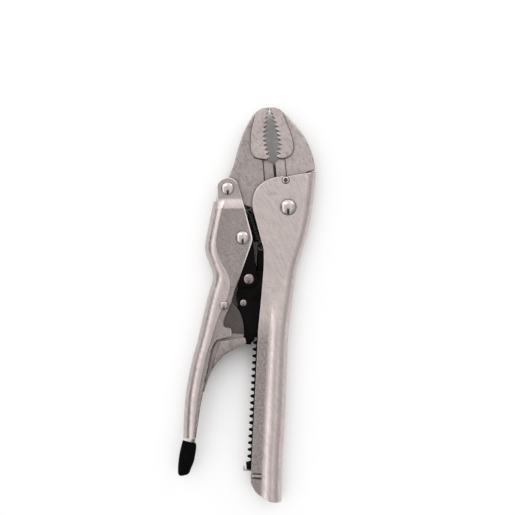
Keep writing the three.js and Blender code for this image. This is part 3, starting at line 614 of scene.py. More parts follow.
class Finish:
    """A node material that is built up in layers on Object coordinates."""

    def __init__(self, name, colour, metallic, roughness):
        self.material = bpy.data.materials.new(name)
        self.material.use_nodes = True
        self.tree = self.material.node_tree
        self.shader = self.tree.nodes["Principled BSDF"]
        self.colour = (*colour, 1)
        self.normal = None
        self.shader.inputs["Metallic"].default_value = metallic
        self.shader.inputs["Roughness"].default_value = roughness
        self.shader.inputs["Base Color"].default_value = self.colour
        self.coordinates = add_node(self.tree, "TexCoord", {}).outputs["Object"]

    def mapped(self, turn=0.0, stretch=(1, 1, 1)):
        """Object coordinates turned by an angle, and stretched after that."""
        return add_node(self.tree, "Mapping", {
            "Vector": self.coordinates, "Rotation": (0, 0, math.radians(turn)), "Scale": stretch,
        }, vector_type="TEXTURE").outputs["Vector"]

    def noise(self, scale, detail=3.0, rough=0.55, turn=0.0, stretch=(1, 1, 1)):
        """Cloudy noise, with its clouds drawn out along a turned direction if it is stretched."""
        return add_node(self.tree, "TexNoise", {
            "Vector": self.mapped(turn, stretch), "Scale": scale, "Detail": detail, "Roughness": rough,
        }).outputs["Fac"]

    def ranged(self, value, low, high, to_low, to_high):
        """Turns one range of values into another."""
        return ranged(self.tree, value, low, high, to_low, to_high)

    def along(self, axis, start, end, turn=0.0):
        """From 0 at start to 1 at end, along X or Y turned by an angle."""
        axes = add_node(self.tree, "SeparateXYZ", {"Vector": self.mapped(turn)})
        return self.ranged(axes.outputs[axis], start * MM, end * MM, 0, 1)

    def both(self, first, second):
        """High only where both values are high."""
        return combined(self.tree, "MULTIPLY", first, second)

    def tint(self, factor, colour):
        """Mixes a colour in where the factor is high."""
        blend = add_node(self.tree, "Mix", {}, data_type="RGBA")
        factor_in, base_in, colour_in = blend.inputs[0], blend.inputs[6], blend.inputs[7]
        self.tree.links.new(factor, factor_in)
        colour_in.default_value = (*colour, 1)
        if isinstance(self.colour, tuple):
            base_in.default_value = self.colour
        else:
            self.tree.links.new(self.colour, base_in)
        self.colour = blend.outputs[2]
        self.tree.links.new(self.colour, self.shader.inputs["Base Color"])

    def rough(self, value):
        """Feeds the roughness."""
        self.tree.links.new(value, self.shader.inputs["Roughness"])

    def bump(self, height, depth, strength=1.0):
        """Adds a relief of a depth in millimetres on top of those before it."""
        inputs = {"Strength": strength, "Distance": depth * MM, "Height": height}
        if self.normal is not None:
            inputs["Normal"] = self.normal
        self.normal = add_node(self.tree, "Bump", inputs).outputs["Normal"]
        self.tree.links.new(self.normal, self.shader.inputs["Normal"])

    def openness(self, distance, samples):
        """Near 1 in the open and low where neighbours stand within a distance in millimetres."""
        inputs = {"Distance": distance * MM}
        return add_node(self.tree, "AmbientOcclusion", inputs, samples=samples).outputs["AO"]

    def crevice_shade_and_grime(self, distance, dark, low=0.3, high=0.85, most=1.0):
        """Painted shade, tinted brown like grime, where neighbours stand close: it darkens by ambient
        occlusion.
        """
        self.tint(self.ranged(self.openness(distance, 8), low, high, most, 0), dark)

    def whiten(self, share, distance):
        """Turns the open surface white for the camera and for what mirrors it; it lights nothing. Near the
        tool it whitens less, which paints shade round the tool beside its real shadow.
        """
        path = add_node(self.tree, "LightPath", {})
        seen = path.outputs["Is Camera Ray"]
        for kind in ("Is Glossy Ray", "Is Transmission Ray"):
            seen = combined(self.tree, "MAXIMUM", seen, path.outputs[kind])
        in_the_open = self.ranged(self.openness(distance, 16), 0.35, 0.9, 0, share)
        blend = add_node(self.tree, "MixShader", {
            0: self.both(seen, in_the_open), 1: self.shader.outputs["BSDF"],
            2: add_node(self.tree, "Emission", {}).outputs["Emission"],
        })
        self.tree.links.new(blend.outputs["Shader"], self.tree.nodes["Material Output"].inputs["Surface"])


def darker(colour, share):
    """A share of a colour."""
    return tuple(channel * share for channel in colour)


# Brown of the painted shade and grime in crevices.
CREVICE_SHADE_AND_GRIME = (0.10, 0.07, 0.06)


def plated(name, colour, satin, clouds, specks, dark):
    """Nickel plate: broad clouds, fine specks, slanting hammer marks, and painted shade with grime in the
    corners.
    """
    finish = Finish(name, colour, 1.0, satin)
    cloud = finish.noise(110, 4, 0.6)
    speck = finish.noise(900, 3, 0.65)
    drawn = finish.noise(520, 3, 0.6, turn=32, stretch=(1, 4.5, 1))
    finish.tint(finish.ranged(cloud, 0.35, 0.72, 0, clouds), darker(colour, dark))
    finish.tint(finish.ranged(speck, 0.46, 0.7, 0, specks), darker(colour, dark * 0.86))
    finish.tint(finish.ranged(drawn, 0.44, 0.62, 0, 0.55), darker(colour, 0.76))
    # Painted shade: a wide darkening near neighbouring parts, and a narrow brown one in the corners.
    finish.crevice_shade_and_grime(9, darker(colour, 0.45), 0.35, 0.95, 0.75)
    finish.crevice_shade_and_grime(1.5, CREVICE_SHADE_AND_GRIME)
    finish.rough(finish.ranged(cloud, 0.3, 0.75, satin - 0.05, satin + 0.1))
    finish.bump(speck, 0.035, 0.6)
    finish.bump(drawn, 0.14, 1.0)
    return finish


def forging(name, colour, satin):
    """A plated forging: pitted, with patches, and with painted shade and grime where the pads stand up."""
    forged = Finish(name, colour, 1.0, satin)
    pits = forged.noise(720, 5, 0.7, turn=30, stretch=(1, 1.8, 1))
    patches = forged.noise(140, 3, 0.6)
    forged.tint(forged.ranged(patches, 0.4, 0.7, 0, 0.35), darker(colour, 0.68))
    forged.tint(forged.ranged(pits, 0.48, 0.7, 0, 0.8), darker(colour, 0.5))
    # Painted shade: a wide darkening near neighbouring parts, such as the cheek's edge, and a narrow brown
    # one under the pads.
    forged.crevice_shade_and_grime(8, darker(colour, 0.42), 0.35, 0.95, 0.8)
    forged.crevice_shade_and_grime(1.5, CREVICE_SHADE_AND_GRIME)
    forged.rough(forged.ranged(pits, 0.3, 0.75, satin, satin + 0.18))
    forged.bump(pits, 0.09, 0.6)
    return forged


def make_finishes(settings):
    """Every finish of the tool, by name."""
    nickel, steel = tuple(settings.nickel), tuple(settings.steel)
    satin = settings.satin
    finishes = {}
    for name, title, share, gloss, clouds, specks, dark in (
        ("nickel", "satin nickel", 1, satin, 0.4, 0.45, 0.8),
        ("band", "drawn nickel", 0.92, satin, 0.4, 0.45, 0.8),
        ("housing", "nickel with a coined lip", 1, satin, 0.4, 0.45, 0.8),
        ("coined", "coined nickel", 0.66, satin + 0.1, 0.7, 0.9, 0.55),
        ("ear", "ear nickel", 0.76, satin + 0.05, 0.6, 0.6, 0.7),
        ("dull", "dull rivet", 0.5, 0.22, 0.5, 0.6, 0.6),
        ("worn_rivet", "worn rivet", 0.8, 0.2, 0.9, 0.6, 0.6),
        # The lever finish is nickel darkened to paint the shade of the lever's recess under the handle; the
        # trigger finish is a paler copy.
        ("lever", "lever steel in painted shade", 0.18, satin, 0.6, 0.7, 0.6),
        ("trigger", "trigger steel", 0.6, satin + 0.02, 0.9, 1.0, 0.5),
    ):
        finishes[name] = plated(title, darker(nickel, share), gloss, clouds, specks, dark)
    finishes["forged"] = forging("forged nickel", darker(nickel, 0.82), satin + 0.06)
    # A darker copy of the forging for the moving jaw's body: painted shade, not wear.
    finishes["worn"] = forging("forged nickel in painted shade", darker(nickel, 0.66), satin + 0.06)

    housing = finishes["housing"]
    lip_edge = LIP_ACROSS + LIP_WIDTH
    on_lip = housing.both(
        housing.along("X", lip_edge + 2.2, lip_edge + 0.2, RACK_TILT), housing.along("Y", -70, -86),
    )
    stamped = housing.ranged(housing.noise(700, 4, 0.7), 0.35, 0.7, 0.35, 1)
    housing.tint(housing.both(on_lip, stamped), darker(nickel, 0.32))

    # The punched rims: a paler, half-metallic finish that paints a highlight along them over their tumbled
    # bare edge, with painted shade and grime where they meet neighbours.
    rim = Finish("tumbled rim with painted highlight", (0.78, 0.73, 0.71), 0.4, 0.34)
    nicks = rim.noise(500, 3, 0.6)
    rim.tint(rim.ranged(nicks, 0.5, 0.75, 0, 0.5), nickel)
    rim.crevice_shade_and_grime(1.0, CREVICE_SHADE_AND_GRIME)
    finishes["rim"] = rim

    polished = Finish("polished rivet", steel, 1.0, 0.16)
    wear = polished.noise(400, 4, 0.6)
    polished.tint(polished.ranged(wear, 0.45, 0.8, 0, 0.4), darker(steel, 0.7))
    # Painted shade with grime round the foot of the rivet's head.
    polished.crevice_shade_and_grime(2.2, CREVICE_SHADE_AND_GRIME, 0.4, 0.9)
    polished.rough(polished.ranged(wear, 0.3, 0.8, 0.08, 0.2))
    finishes["polished"] = polished

    black = Finish("black oxide", tuple(settings.black), 0.0, 0.42)
    black.shader.inputs["Specular IOR Level"].default_value = 0.05
    oil = black.noise(160, 4, 0.6)
    black.tint(black.ranged(oil, 0.45, 0.8, 0, 0.6), (0.008, 0.006, 0.0055))
    black.rough(black.ranged(oil, 0.3, 0.8, 0.36, 0.55))
    black.bump(black.noise(1200, 3, 0.6), 0.03, 0.5)
    finishes["black"] = black

    spring = Finish("spring wire", (0.03, 0.028, 0.028), 0.6, 0.35)
    spring.tint(spring.ranged(spring.noise(300, 3), 0.5, 0.8, 0, 0.6), (0.07, 0.06, 0.055))
    finishes["spring"] = spring

    vinyl = Finish("dipped vinyl", tuple(settings.vinyl), 0.0, 0.55)
    vinyl.shader.inputs["Specular IOR Level"].default_value = 0.04
    skin = vinyl.noise(350, 4, 0.6)
    vinyl.tint(vinyl.ranged(skin, 0.5, 0.85, 0, 0.6), (0.006, 0.006, 0.0065))
    vinyl.rough(vinyl.ranged(skin, 0.3, 0.8, 0.45, 0.62))
    vinyl.bump(skin, 0.05, 0.5)
    finishes["vinyl"] = vinyl
    return {name: finish.material for name, finish in finishes.items()}


# The materials of the finishes, filled when the first piece needs one.
FINISHES = {}


def finish_of(name):
    """A finish's material; all are made when the first is asked for."""
    if not FINISHES:
        FINISHES.update(make_finishes(bpy.context.scene.pliers_finish))
    return FINISHES[name]


# ---------- fixed handle ----------

LIP_ACROSS = -15.4
LIP_WIDTH = 6
LIP_STEP = 1.8
LIP_RISE = 0.16
HOUSING_BEND = 7.5
# Columns in half the sheet: round the bend, over the flat, down the lip's step, and on to the edge.
HOUSING_SPANS = (18, 20, 7, 6)
BULGE_START, BULGE_END = 44, 80
# Between these places along the rack the lip runs beside it.
LIP_START, LIP_END = 79, 173.4
# How far down the cheek its cut top still shapes the sheet, and how far up the end's cut foot does.
TOP_REACH, FOOT_REACH = 26, 22
THROUGH = 20
PIN_RADIUS = 2.2
# Two slits by the rack clip, each with its place along the rack and its width, and a bridge between them.
SLITS = ((170.7, 0.75), (173.8, 0.55))
BRIDGE_ALONG = 172.4
HOUSING_SPINE = [
    (18.3, 27), (17.2, 9), (13, -14), (9, -28), (5, -43), (0.5, -79),
    (-0.7, -102), (-2, -136), (-3.7, -163), (-4.5, -193.4),
]
CHEEK_TOP = [(-15, 16.5), (-9.5, 18.6), (-4, 19.65), (1.4, 19.8), (3.2, 20.3), (24, 23.3)]
CHEEK_SIDE = [(-15, 16.5), (-19.6, 12.4), (-22.1, 7.6), (-22.9, 2.7), (-22.5, -1.6)]
CHEEK_FOOT = [(-22.5, -1.6), (-17.4, -20.8), (-16, -25.5), (-15.6, -31), (-15.8, -40)]
FOOT_CUT = [
    (0.9, -177.7), (3.6, -181.9), (7.8, -185.2), (12, -187.4), (16.6, -188.3), (20.6, -187.8), (34, -186.8),
]
PANEL_LEFT, PANEL_RIGHT, PANEL_FOOT, PANEL_HEAD = -15.0, -7.2, -19.2, 8.4
PANEL_SLOPE = 0.7


def in_panel(x, y):
    """1 on the pressed panel and 0 off it, with a slope between."""
    return min(
        ease(x, PANEL_LEFT - PANEL_SLOPE, PANEL_LEFT + PANEL_SLOPE),
        ease(-x, -PANEL_RIGHT - PANEL_SLOPE, -PANEL_RIGHT + PANEL_SLOPE),
        ease(y, PANEL_FOOT - PANEL_SLOPE, PANEL_FOOT + PANEL_SLOPE),
        ease(-y, -PANEL_HEAD - PANEL_SLOPE, -PANEL_HEAD + PANEL_SLOPE),
    )


class PLIERS_OT_fixed_handle(bpy.types.Operator):
    """Bends the fixed handle's sheet round its spine, with its lip, bulge, panel, bridge and pin hole"""

    bl_idname = "pliers.fixed_handle"
    bl_label = "Fixed handle"

    def execute(self, context):
        settings = context.scene.pliers_sheet
        spine_line = smooth(HOUSING_SPINE, 24)
        lip_start, lip_end = by_rack(LIP_ACROSS, LIP_START), by_rack(LIP_ACROSS, LIP_END)
        top_line = smooth(CHEEK_TOP, 8)
        foot_line = smooth([(lip_end.x + x, y) for x, y in FOOT_CUT], 8)
        edge = [
            *smooth(CHEEK_SIDE, 8),
            *smooth(CHEEK_FOOT, 8)[1:],
            *smooth([CHEEK_FOOT[-1], (-17.3, -58), tuple(lip_start)], 10)[1:],
            *smooth([tuple(lip_end), (lip_end.x + 0.1, -175.6), tuple(foot_line[0])], 4),
        ]
        stations = spaced(edge, 0.8)
        rows = len(stations) - 1
        half = sum(HOUSING_SPANS)
        bend_run = HOUSING_BEND * math.pi / 2
        panel = settings.panel_depth / MM
        top_corner, foot_corner = stations[0], stations[-1]

        def place(column, row):
            if abs(column - half) == half:
                row = min(max(row, 1), rows - 1)
            station = stations[row]
            y = station.y
            centre = across_at(spine_line, y) - HOUSING_BEND
            lip = by_rack(LIP_ACROSS, -y).x + LIP_WIDTH
            lip_end_run = bend_run + centre - lip
            lip_start_run = lip_end_run - LIP_STEP
            edge_run = run_to(centre - station.x, HOUSING_BEND)
            marks = fitted([0, bend_run, lip_start_run, lip_end_run, edge_run], 0.6)
            run = run_at(abs(column - half), HOUSING_SPANS, marks)[1]
            # The bulge is highest at the bend, and falls to the lip's own rise where the lip's step starts.
            rise = (BULGE_LEVEL - CHEEK_LEVEL) * ease(-y, BULGE_START, BULGE_END)
            share = min(max((run - bend_run) / (lip_start_run - bend_run), 0), 1)
            crown = mix(rise, LIP_RISE, share ** 2) if rise > LIP_RISE else rise
            face = CHEEK_LEVEL + crown * (1 - bend_over(run, lip_start_run, lip_end_run))
            if run < bend_run:
                x = centre + HOUSING_BEND * math.cos(run / HOUSING_BEND)
                z = face * math.sin(run / HOUSING_BEND)
            else:
                x = centre - (run - bend_run)
                z = face
            if x > top_corner.x:
                below = top_corner.y - station.y
                y += (height_at(top_line, x) - top_corner.y) * (1 - ease(below, 0, TOP_REACH))
            if x > foot_corner.x:
                above = station.y - foot_corner.y
                y += (height_at(foot_line, x) - foot_corner.y) * (1 - ease(above, 0, FOOT_REACH))
            z -= panel * in_panel(x, y)
            return x, y, z if column > half else -z

        obj = bent_sheet("housing_sheet", 2 * half, rows, place, settings.housing_sheet, settings.rim)
        cut(obj, round_blank("pin_hole", ROLL_PIN, PIN_RADIUS + 0.35, -THROUGH, THROUGH, 48))
        for along, width in SLITS:
            start, end = by_rack(LIP_ACROSS - 1, along), by_rack(LIP_ACROSS + 6.6, along)
            cut(obj, bar("slit", start, end, width, -THROUGH, THROUGH))
        start, end = by_rack(LIP_ACROSS + 1.3, BRIDGE_ALONG), by_rack(LIP_ACROSS + 6.2, BRIDGE_ALONG)
        for side in (-1, 1):
            low, high = sorted((side * (CHEEK_LEVEL - 1.5), side * (CHEEK_LEVEL + 0.55)))
            weld(obj, bar("bridge", start, end, 2.3, low, high, 0.7))
        deselect()
        bpy.ops.mesh.primitive_torus_add(
            major_radius=5.0 * MM, minor_radius=0.38 * MM, major_segments=96, minor_segments=12,
            location=(0, 0, (MIDDLE + CHEEK_LEVEL + 0.18) * MM),
        )
        groove = bpy.context.object
        settle(groove)
        cut(obj, groove)
        soften(obj, 42)
        finish_piece(obj, "housing", "nickel", ("housing",), "fixed_handle")
        return {"FINISHED"}


# ---------- moving handle ----------

HANDLE_BEND = 7.3
# Columns in half the sheet: over the spine, round the bend, down the coined step, and on to the edge.
HANDLE_SPANS = (6, 12, 5, 26)
EAR_RADIUS = 7
EAR_SHOULDER = 2.4
EAR_ROOT = (-27.4, -1.8)
JOGGLE_TOP = 5.2
JOGGLE_FOOT = -0.8
EAR_MARK = 4.6
# The coined step runs out between these distances below the pivot.
COINED_FADE = (112, 140)
HANDLE_SPINE = [
    (-45.6, 14), (-47.4, 4.2), (-50.6, -11), (-53.1, -26), (-50.4, -36), (-48, -45), (-51.6, -58.6),
    (-57.4, -83.4), (-62, -101), (-65.8, -123.5), (-67.2, -151.6),
]
HANDLE_MOUTH = [
    (-25.2, -10), (-23.1, -18), (-22.9, -21.5), (-25, -28), (-29.6, -40.9), (-34.4, -54.8),
]
HANDLE_NOTCH = [
    (-35.2, -58), (-36.3, -61.5), (-38.3, -66.2), (-40.4, -71), (-41.2, -74.4), (-40.9, -75.9),
    (-39.9, -76.7), (-37.6, -77.1), (-36.7, -77.7), (-36.3, -78.8), (-36.3, -81.6), (-36.9, -82.6),
    (-45, -84.7),
]
HANDLE_TAIL = [
    (-45, -84.7), (-48.3, -90.3), (-51.1, -103.6), (-54.2, -115.9), (-56.5, -127.3), (-58.1, -138.8),
    (-58.9, -147.6),
]
COINED_LINE = [
    (-40.1, 12), (-41.2, 2), (-44.6, -14), (-45.6, -25), (-43.4, -34), (-38.4, -43), (-36.9, -50),
    (-38.6, -58), (-42.6, -66), (-46.3, -76), (-49.6, -87), (-52.6, -97), (-58, -125), (-61, -151),
]


def ear_right(y):
    """The ear's right edge at the level y."""
    rise = y - HANDLE_PIVOT.y
    if rise > EAR_SHOULDER:
        return HANDLE_PIVOT.x + math.sqrt(max(EAR_RADIUS ** 2 - rise ** 2, 0))
    shoulder = HANDLE_PIVOT.x + math.sqrt(EAR_RADIUS ** 2 - EAR_SHOULDER ** 2)
    share = (EAR_SHOULDER - rise) / (EAR_SHOULDER + HANDLE_PIVOT.y - EAR_ROOT[1])
    return mix(shoulder, EAR_ROOT[0], share)


def ear_left(y):
    """The ear's left edge at the level y."""
    rise = y - HANDLE_PIVOT.y
    if rise > 0:
        return HANDLE_PIVOT.x - math.sqrt(max(EAR_RADIUS ** 2 - rise ** 2, 0))
    return HANDLE_PIVOT.x - mix(EAR_RADIUS, 6.8, ease(-rise, 0, 7))


class PLIERS_OT_moving_handle(bpy.types.Operator):
    """Bends the moving handle's sheet, with its ears, joggle, coined faces and notch for the trigger"""

    bl_idname = "pliers.moving_handle"
    bl_label = "Moving handle"

    def execute(self, context):
        settings = context.scene.pliers_sheet
        spine_line = smooth(HANDLE_SPINE, 24)
        coined_line = smooth(COINED_LINE, 12)
        top_y = HANDLE_PIVOT.y + EAR_SHOULDER
        edge = [
            *(Vector((ear_right(y), y)) for y in (top_y, 12, 9, 6, 3, 0, EAR_ROOT[1])),
            *smooth([EAR_ROOT, *HANDLE_MOUTH], 8)[1:],
            *smooth([HANDLE_MOUTH[-1], *HANDLE_NOTCH], 6)[1:],
            *smooth(HANDLE_TAIL, 8)[1:],
        ]
        stations = spaced(edge, 0.75)
        rows = len(stations) - 1
        spine_span, round_span = HANDLE_SPANS[:2]
        half = sum(HANDLE_SPANS)
        bend_run = HANDLE_BEND * math.pi / 2
        coined = settings.coined / MM

        def place(column, row):
            station = stations[row]
            y = station.y
            centre = across_at(spine_line, y) + HANDLE_BEND
            line_run = run_to(across_at(coined_line, y) - centre, HANDLE_BEND)
            edge_run = run_to(station.x - centre, HANDLE_BEND)
            marks = fitted([0, EAR_MARK, line_run - 0.3, line_run + 0.4, edge_run])
            away = abs(column - half)
            share = max(away - spine_span, 0) / (half - spine_span)
            index, run = run_at(away, HANDLE_SPANS, marks)
            ear = ramp(y, JOGGLE_FOOT, JOGGLE_TOP)
            if run < bend_run:
                x = centre - HANDLE_BEND * math.cos(run / HANDLE_BEND)
                z = HANDLE_LEVEL * math.sin(run / HANDLE_BEND)
            else:
                x = centre + run - bend_run
                z = HANDLE_LEVEL
            z -= coined * ramp(run, marks[2], marks[3]) * (1 - ear) * (1 - ease(-y, *COINED_FADE))
            if index > 0 and ear > 0:
                x = mix(x, mix(ear_left(y), station.x, share), ear)
                z = mix(z, EAR_LEVEL, ear)
            if index > 0 and y > 5:
                rise = math.sqrt(max(EAR_RADIUS ** 2 - (x - HANDLE_PIVOT.x) ** 2, 0)) - EAR_SHOULDER
                y += max(rise, 0) * (1 - ease(top_y - y, 0, 9))
            return x, y, -z if column > half else z

        top_row = next(index for index, station in enumerate(stations) if station.y < JOGGLE_TOP - 0.8)

        def above_spine(column, row):
            return abs(column - half) < spine_span and row < top_row

        def finish(column, row):
            y, away = stations[int(row)].y, abs(column - half)
            if y > JOGGLE_TOP and away > spine_span:
                return EAR
            if y > JOGGLE_FOOT or away < spine_span + round_span + 2.5:
                return BAND
            # The outermost column takes the rim finish, a painted highlight along the coined face's edge.
            return COINED if away < half - 1 else RIM_HIGHLIGHT

        obj = bent_sheet(
            "handle_sheet", 2 * half, rows, place, settings.handle_sheet, settings.rim, finish, above_spine,
        )
        soften(obj, 42)
        finish_piece(obj, "handle", "nickel", ("band", "coined", "rim", "ear"), "moving_handle")
        return {"FINISHED"}


# ---------- jaws ----------

# The jaws' tips meet at TIP, and their cutting edges along MEETING.
TIP_X = -11.8
TIP_Y = 63.6
BOSS_RADIUS = 10.4
MEETING = ((-9.0, 27.1), (-7.1, 7.6))
MEETING_GAP = 0.15
CUTTER_WIDTH = 7.2
TIP_TOOTH = 0.3
SPRING_TAB = (-26, 0.6)


def from_tip(*places):
    """Points given from the place where the jaws' tips meet."""
    return [Vector((TIP_X + x, TIP_Y + y)) for x, y in places]


def tooth_row(places, bite, pitch, depth):
    """A row of teeth along a line bowed by three places, biting to the left (-1) or to the right (1)."""
    line = bowed(*from_tip(*places))
    length = sum((b - a).length for a, b in zip(line, line[1:]))
    teeth = round(length / pitch)
    marks = spaced(line, length / teeth / 2)
    row = []
    for index, mark in enumerate(marks):
        if index % 2:
            share = mix(TIP_TOOTH, 1, ease(TIP_Y - 2 - mark.y, 0, 13))
            crest = mark + Vector((bite * depth * share, 0))
            lean = (marks[index + 1] - marks[index - 1]) * 0.06
            row += [crest - lean, crest + lean]
        else:
            row.append(mark)
    return row


def moving_pad(pitch, depth):
    """The outline of the moving jaw's toothed pad."""
    teeth = tooth_row([(-1, -1.9), (-7.6, -15.7), (-1.8, -32.7)], 1, pitch, depth)
    foot = smooth(from_tip(
        (-1.2, -33.3), (-4.6, -33), (-9.2, -31.8), (-11.9, -27.3), (-11.9, -18.2), (-10.9, -12), (-9, -3.8),
    ), 6)
    crown = smooth(from_tip((-9, -3.8), (-7.8, -2.5), (-5, -0.8), (-0.18, -0.2)), 5)
    return [*from_tip((-0.22, -1.1)), *teeth, *foot, *crown[1:]]


def fixed_pad(pitch, depth):
    """The outline of the fixed jaw's toothed pad."""
    crown = smooth(from_tip(
        (0.18, -0.2), (2, -0.15), (4.4, -0.5), (7.7, -2.6), (10.8, -10.6), (14.2, -19.5), (14.9, -26.9),
        (13, -30.8), (8.8, -32.7),
    ), 6)
    teeth = tooth_row([(6.3, -32.4), (10.6, -20.1), (0.9, -1.9)], -1, pitch, depth)
    return [*from_tip((0.22, -1.1)), *crown, *teeth]


def cutter_tool(side, behind):
    """What a jaw loses on one face, so that its cutting edge is thin: a shallow slope, then a steep one."""
    (top_x, top_y), (foot_x, foot_y) = MEETING
    lean = (top_x - foot_x) / (top_y - foot_y)
    step = JAW_LEVEL - 0.95
    profile = [(-2.5, 9), (-2.5, 1.2), (0, 1.5), (0.7, 3.3), (CUTTER_WIDTH, step), (CUTTER_WIDTH, 9)]
    obj = line_curve("cutter", [[(side * x, z) for x, z in profile]], True)
    obj.data.extrude = 12 * MM
    bpy.ops.object.convert(target="MESH")
    obj = bpy.context.object
    obj.rotation_euler = (math.pi / 2, 0, 0)
    settle(obj)
    obj.rotation_euler = (0, 0, math.atan(-lean))
    obj.location = (
        (mix(top_x, foot_x, 0.5) + side * MEETING_GAP) * MM, ((top_y + foot_y) / 2 + 1) * MM, MIDDLE * MM,
    )
    settle(obj)
    clean(obj)
    if behind:
        edit(obj)
        bpy.ops.transform.resize(value=(1, 1, -1), center_override=(0, 0, MIDDLE * MM))
        done()
        clean(obj)
    return obj


def undercut(obj, width, points):
    """A narrow groove in both faces of a jaw, where its pad or its cutter's step ends."""
    floor = JAW_LEVEL - 1.7
    for start, end in zip(points, points[1:]):
        for low, high in ((floor, 9), (-9, -floor)):
            cut(obj, bar("groove", start, end, width, low, high, 0.1))


def dress(jaw, side, settings, grooves, pad):
    """Re-skins a jaw's blank in small even cells, thins its cutter, grooves it, and welds its pad on."""
    choose(jaw)
    jaw.data.remesh_voxel_size = settings.grain
    bpy.ops.object.voxel_remesh()
    bpy.ops.object.modifier_add(type="SMOOTH")
    smoothing = jaw.modifiers[-1]
    smoothing.factor = 0.5
    smoothing.iterations = 3
    apply_all(jaw)
    for behind in (False, True):
        cut(jaw, cutter_tool(side, behind))
    for width, points in grooves:
        undercut(jaw, width, points)
    outline = pad(settings.tooth_pitch / MM, settings.tooth_depth / MM)
    weld(jaw, plate("pad", [outline], -PAD_LEVEL, PAD_LEVEL, 0.28))
    soften(jaw, 42)


class PLIERS_OT_jaws(bpy.types.Operator):
    """Forges the moving jaw and the fixed jaw, with their toothed pads and their wire cutter"""

    bl_idname = "pliers.jaws"
    bl_label = "Jaws"

    def execute(self, context):
        settings = context.scene.pliers_forging
        edge = settings.edge / MM
        (top_x, top_y), (foot_x, foot_y) = MEETING
        back = smooth([
            (-34.9, 26), (-33.4, 31.8), (-31.1, 39.7), (-27.8, 48.8), (-23.1, 57.2), (-20, 60.6),
            *from_tip((-4, -1.4)),
        ], 8)
        mouth = smooth([
            *from_tip((-4.5, -8), (-7.2, -20), (-6.5, -30.3)), (top_x - MEETING_GAP, top_y),
        ], 8)
        start = math.degrees(math.atan2(foot_y, foot_x - MEETING_GAP))
        boss = arc((0, 0), BOSS_RADIUS, start, -118.6, 40)
        belly = smooth([tuple(boss[-1]), (-14, -4.6), (-22.4, -0.9), (-30, 1.6), (-35.5, 5.4)], 8)
        lug = arc(HANDLE_PIVOT, EAR_RADIUS - 0.6, -67, -270, 24)
        outline = [*back, *mouth, *boss, *belly[1:], *lug]
        moving = plate("moving_forging", [outline], -JAW_LEVEL, JAW_LEVEL, edge)
        notch = [(-29.6, 4.2), (-29.6, -12), (-22.4, -12), (-22.4, 4.2)]
        cut(moving, plate("notch", [notch], -3.8, 3.8, 0.2))
        tab = [*arc(SPRING_TAB, 3.4, 180, 360, 20), Vector((-22.6, 5.6)), Vector((-29.4, 5.6))]
        weld(moving, plate("tab", [tab, ring(SPRING_TAB, 2)], -1.2, 1.2, 0.2))
        dress(moving, -1, settings, [
            (0.75, [(-16.2, 30.4), (-14.6, 12)]),
            (0.75, [*from_tip((-9.6, -32.1), (-5, -33.35)), (top_x - 1, top_y + 2.9)]),
        ], moving_pad)
        finish_piece(moving, "jaw", "forged", ("worn", "forged"), "moving_jaw")
        # The jaw's body takes the darker copy, which is painted shade; its pads keep the forging.
        for face in moving.data.polygons:
            on_pad = abs(face.center.z / MM - MIDDLE) > JAW_LEVEL + 0.5
            face.material_index = 1 if on_pad else 0

        front = smooth([
            *from_tip((2.2, -1)), (-7.5, 62.8), (-4, 61.2), (-0.5, 57.8), (7.6, 48.7), (12, 42),
            (15.3, 33.8), (16.9, 27.2), (17, 23.4),
        ], 8)
        tang = [Vector((12.2, 22)), Vector((11.2, 19.8)), Vector((10.2, 7.5))]
        socket_radius = BOSS_RADIUS + 0.4
        start = math.degrees(math.asin(tang[-1].y / socket_radius))
        end = math.degrees(math.atan2(foot_y, foot_x + MEETING_GAP))
        socket = arc((0, 0), socket_radius, start, end, 24)
        throat = smooth([
            (top_x + MEETING_GAP, top_y), *from_tip((8.6, -29.3), (9.4, -20), (4, -8)),
        ], 8)
        outline = [*front, *tang, *socket, *throat]
        fixed = plate("fixed_forging", [outline], -JAW_LEVEL, JAW_LEVEL, edge)
        dress(fixed, 1, settings, [
            (0.4, [(-1.9, 30), (-0.2, 12)]),
            (0.75, from_tip((6.6, -32.8), (9.5, -32.7), (13, -30.7))),
        ], fixed_pad)
        finish_piece(fixed, "housing", "forged", ("forged",), "fixed_jaw")
        return {"FINISHED"}


# ---------- rivets and pins ----------

DOME_RINGS = 12


def rivet(node, body, centre, head, seat, finish="polished"):
    """A rivet with a domed head in front and an upset head behind."""
    front, rear = level(node), -level(node, 0)
    base = seat + 0.35
    obj = round_blank(node + "_turned", centre, head, -rear + 0.45, base)
    angles = [math.radians(88 * step / DOME_RINGS) for step in range(1, DOME_RINGS + 1)]
    dome = [(head * math.cos(angle), base + (front - base) * math.sin(angle)) for angle in angles]
    end_in_rings(obj, 1, head, dome)
    end_in_rings(obj, -1, head, [(head - 0.15, rear - 0.18), (head - 0.5, rear - 0.03), (head - 1, rear)])
    soften(obj, 50)
    finish_piece(obj, body, "polished", (finish,), node)


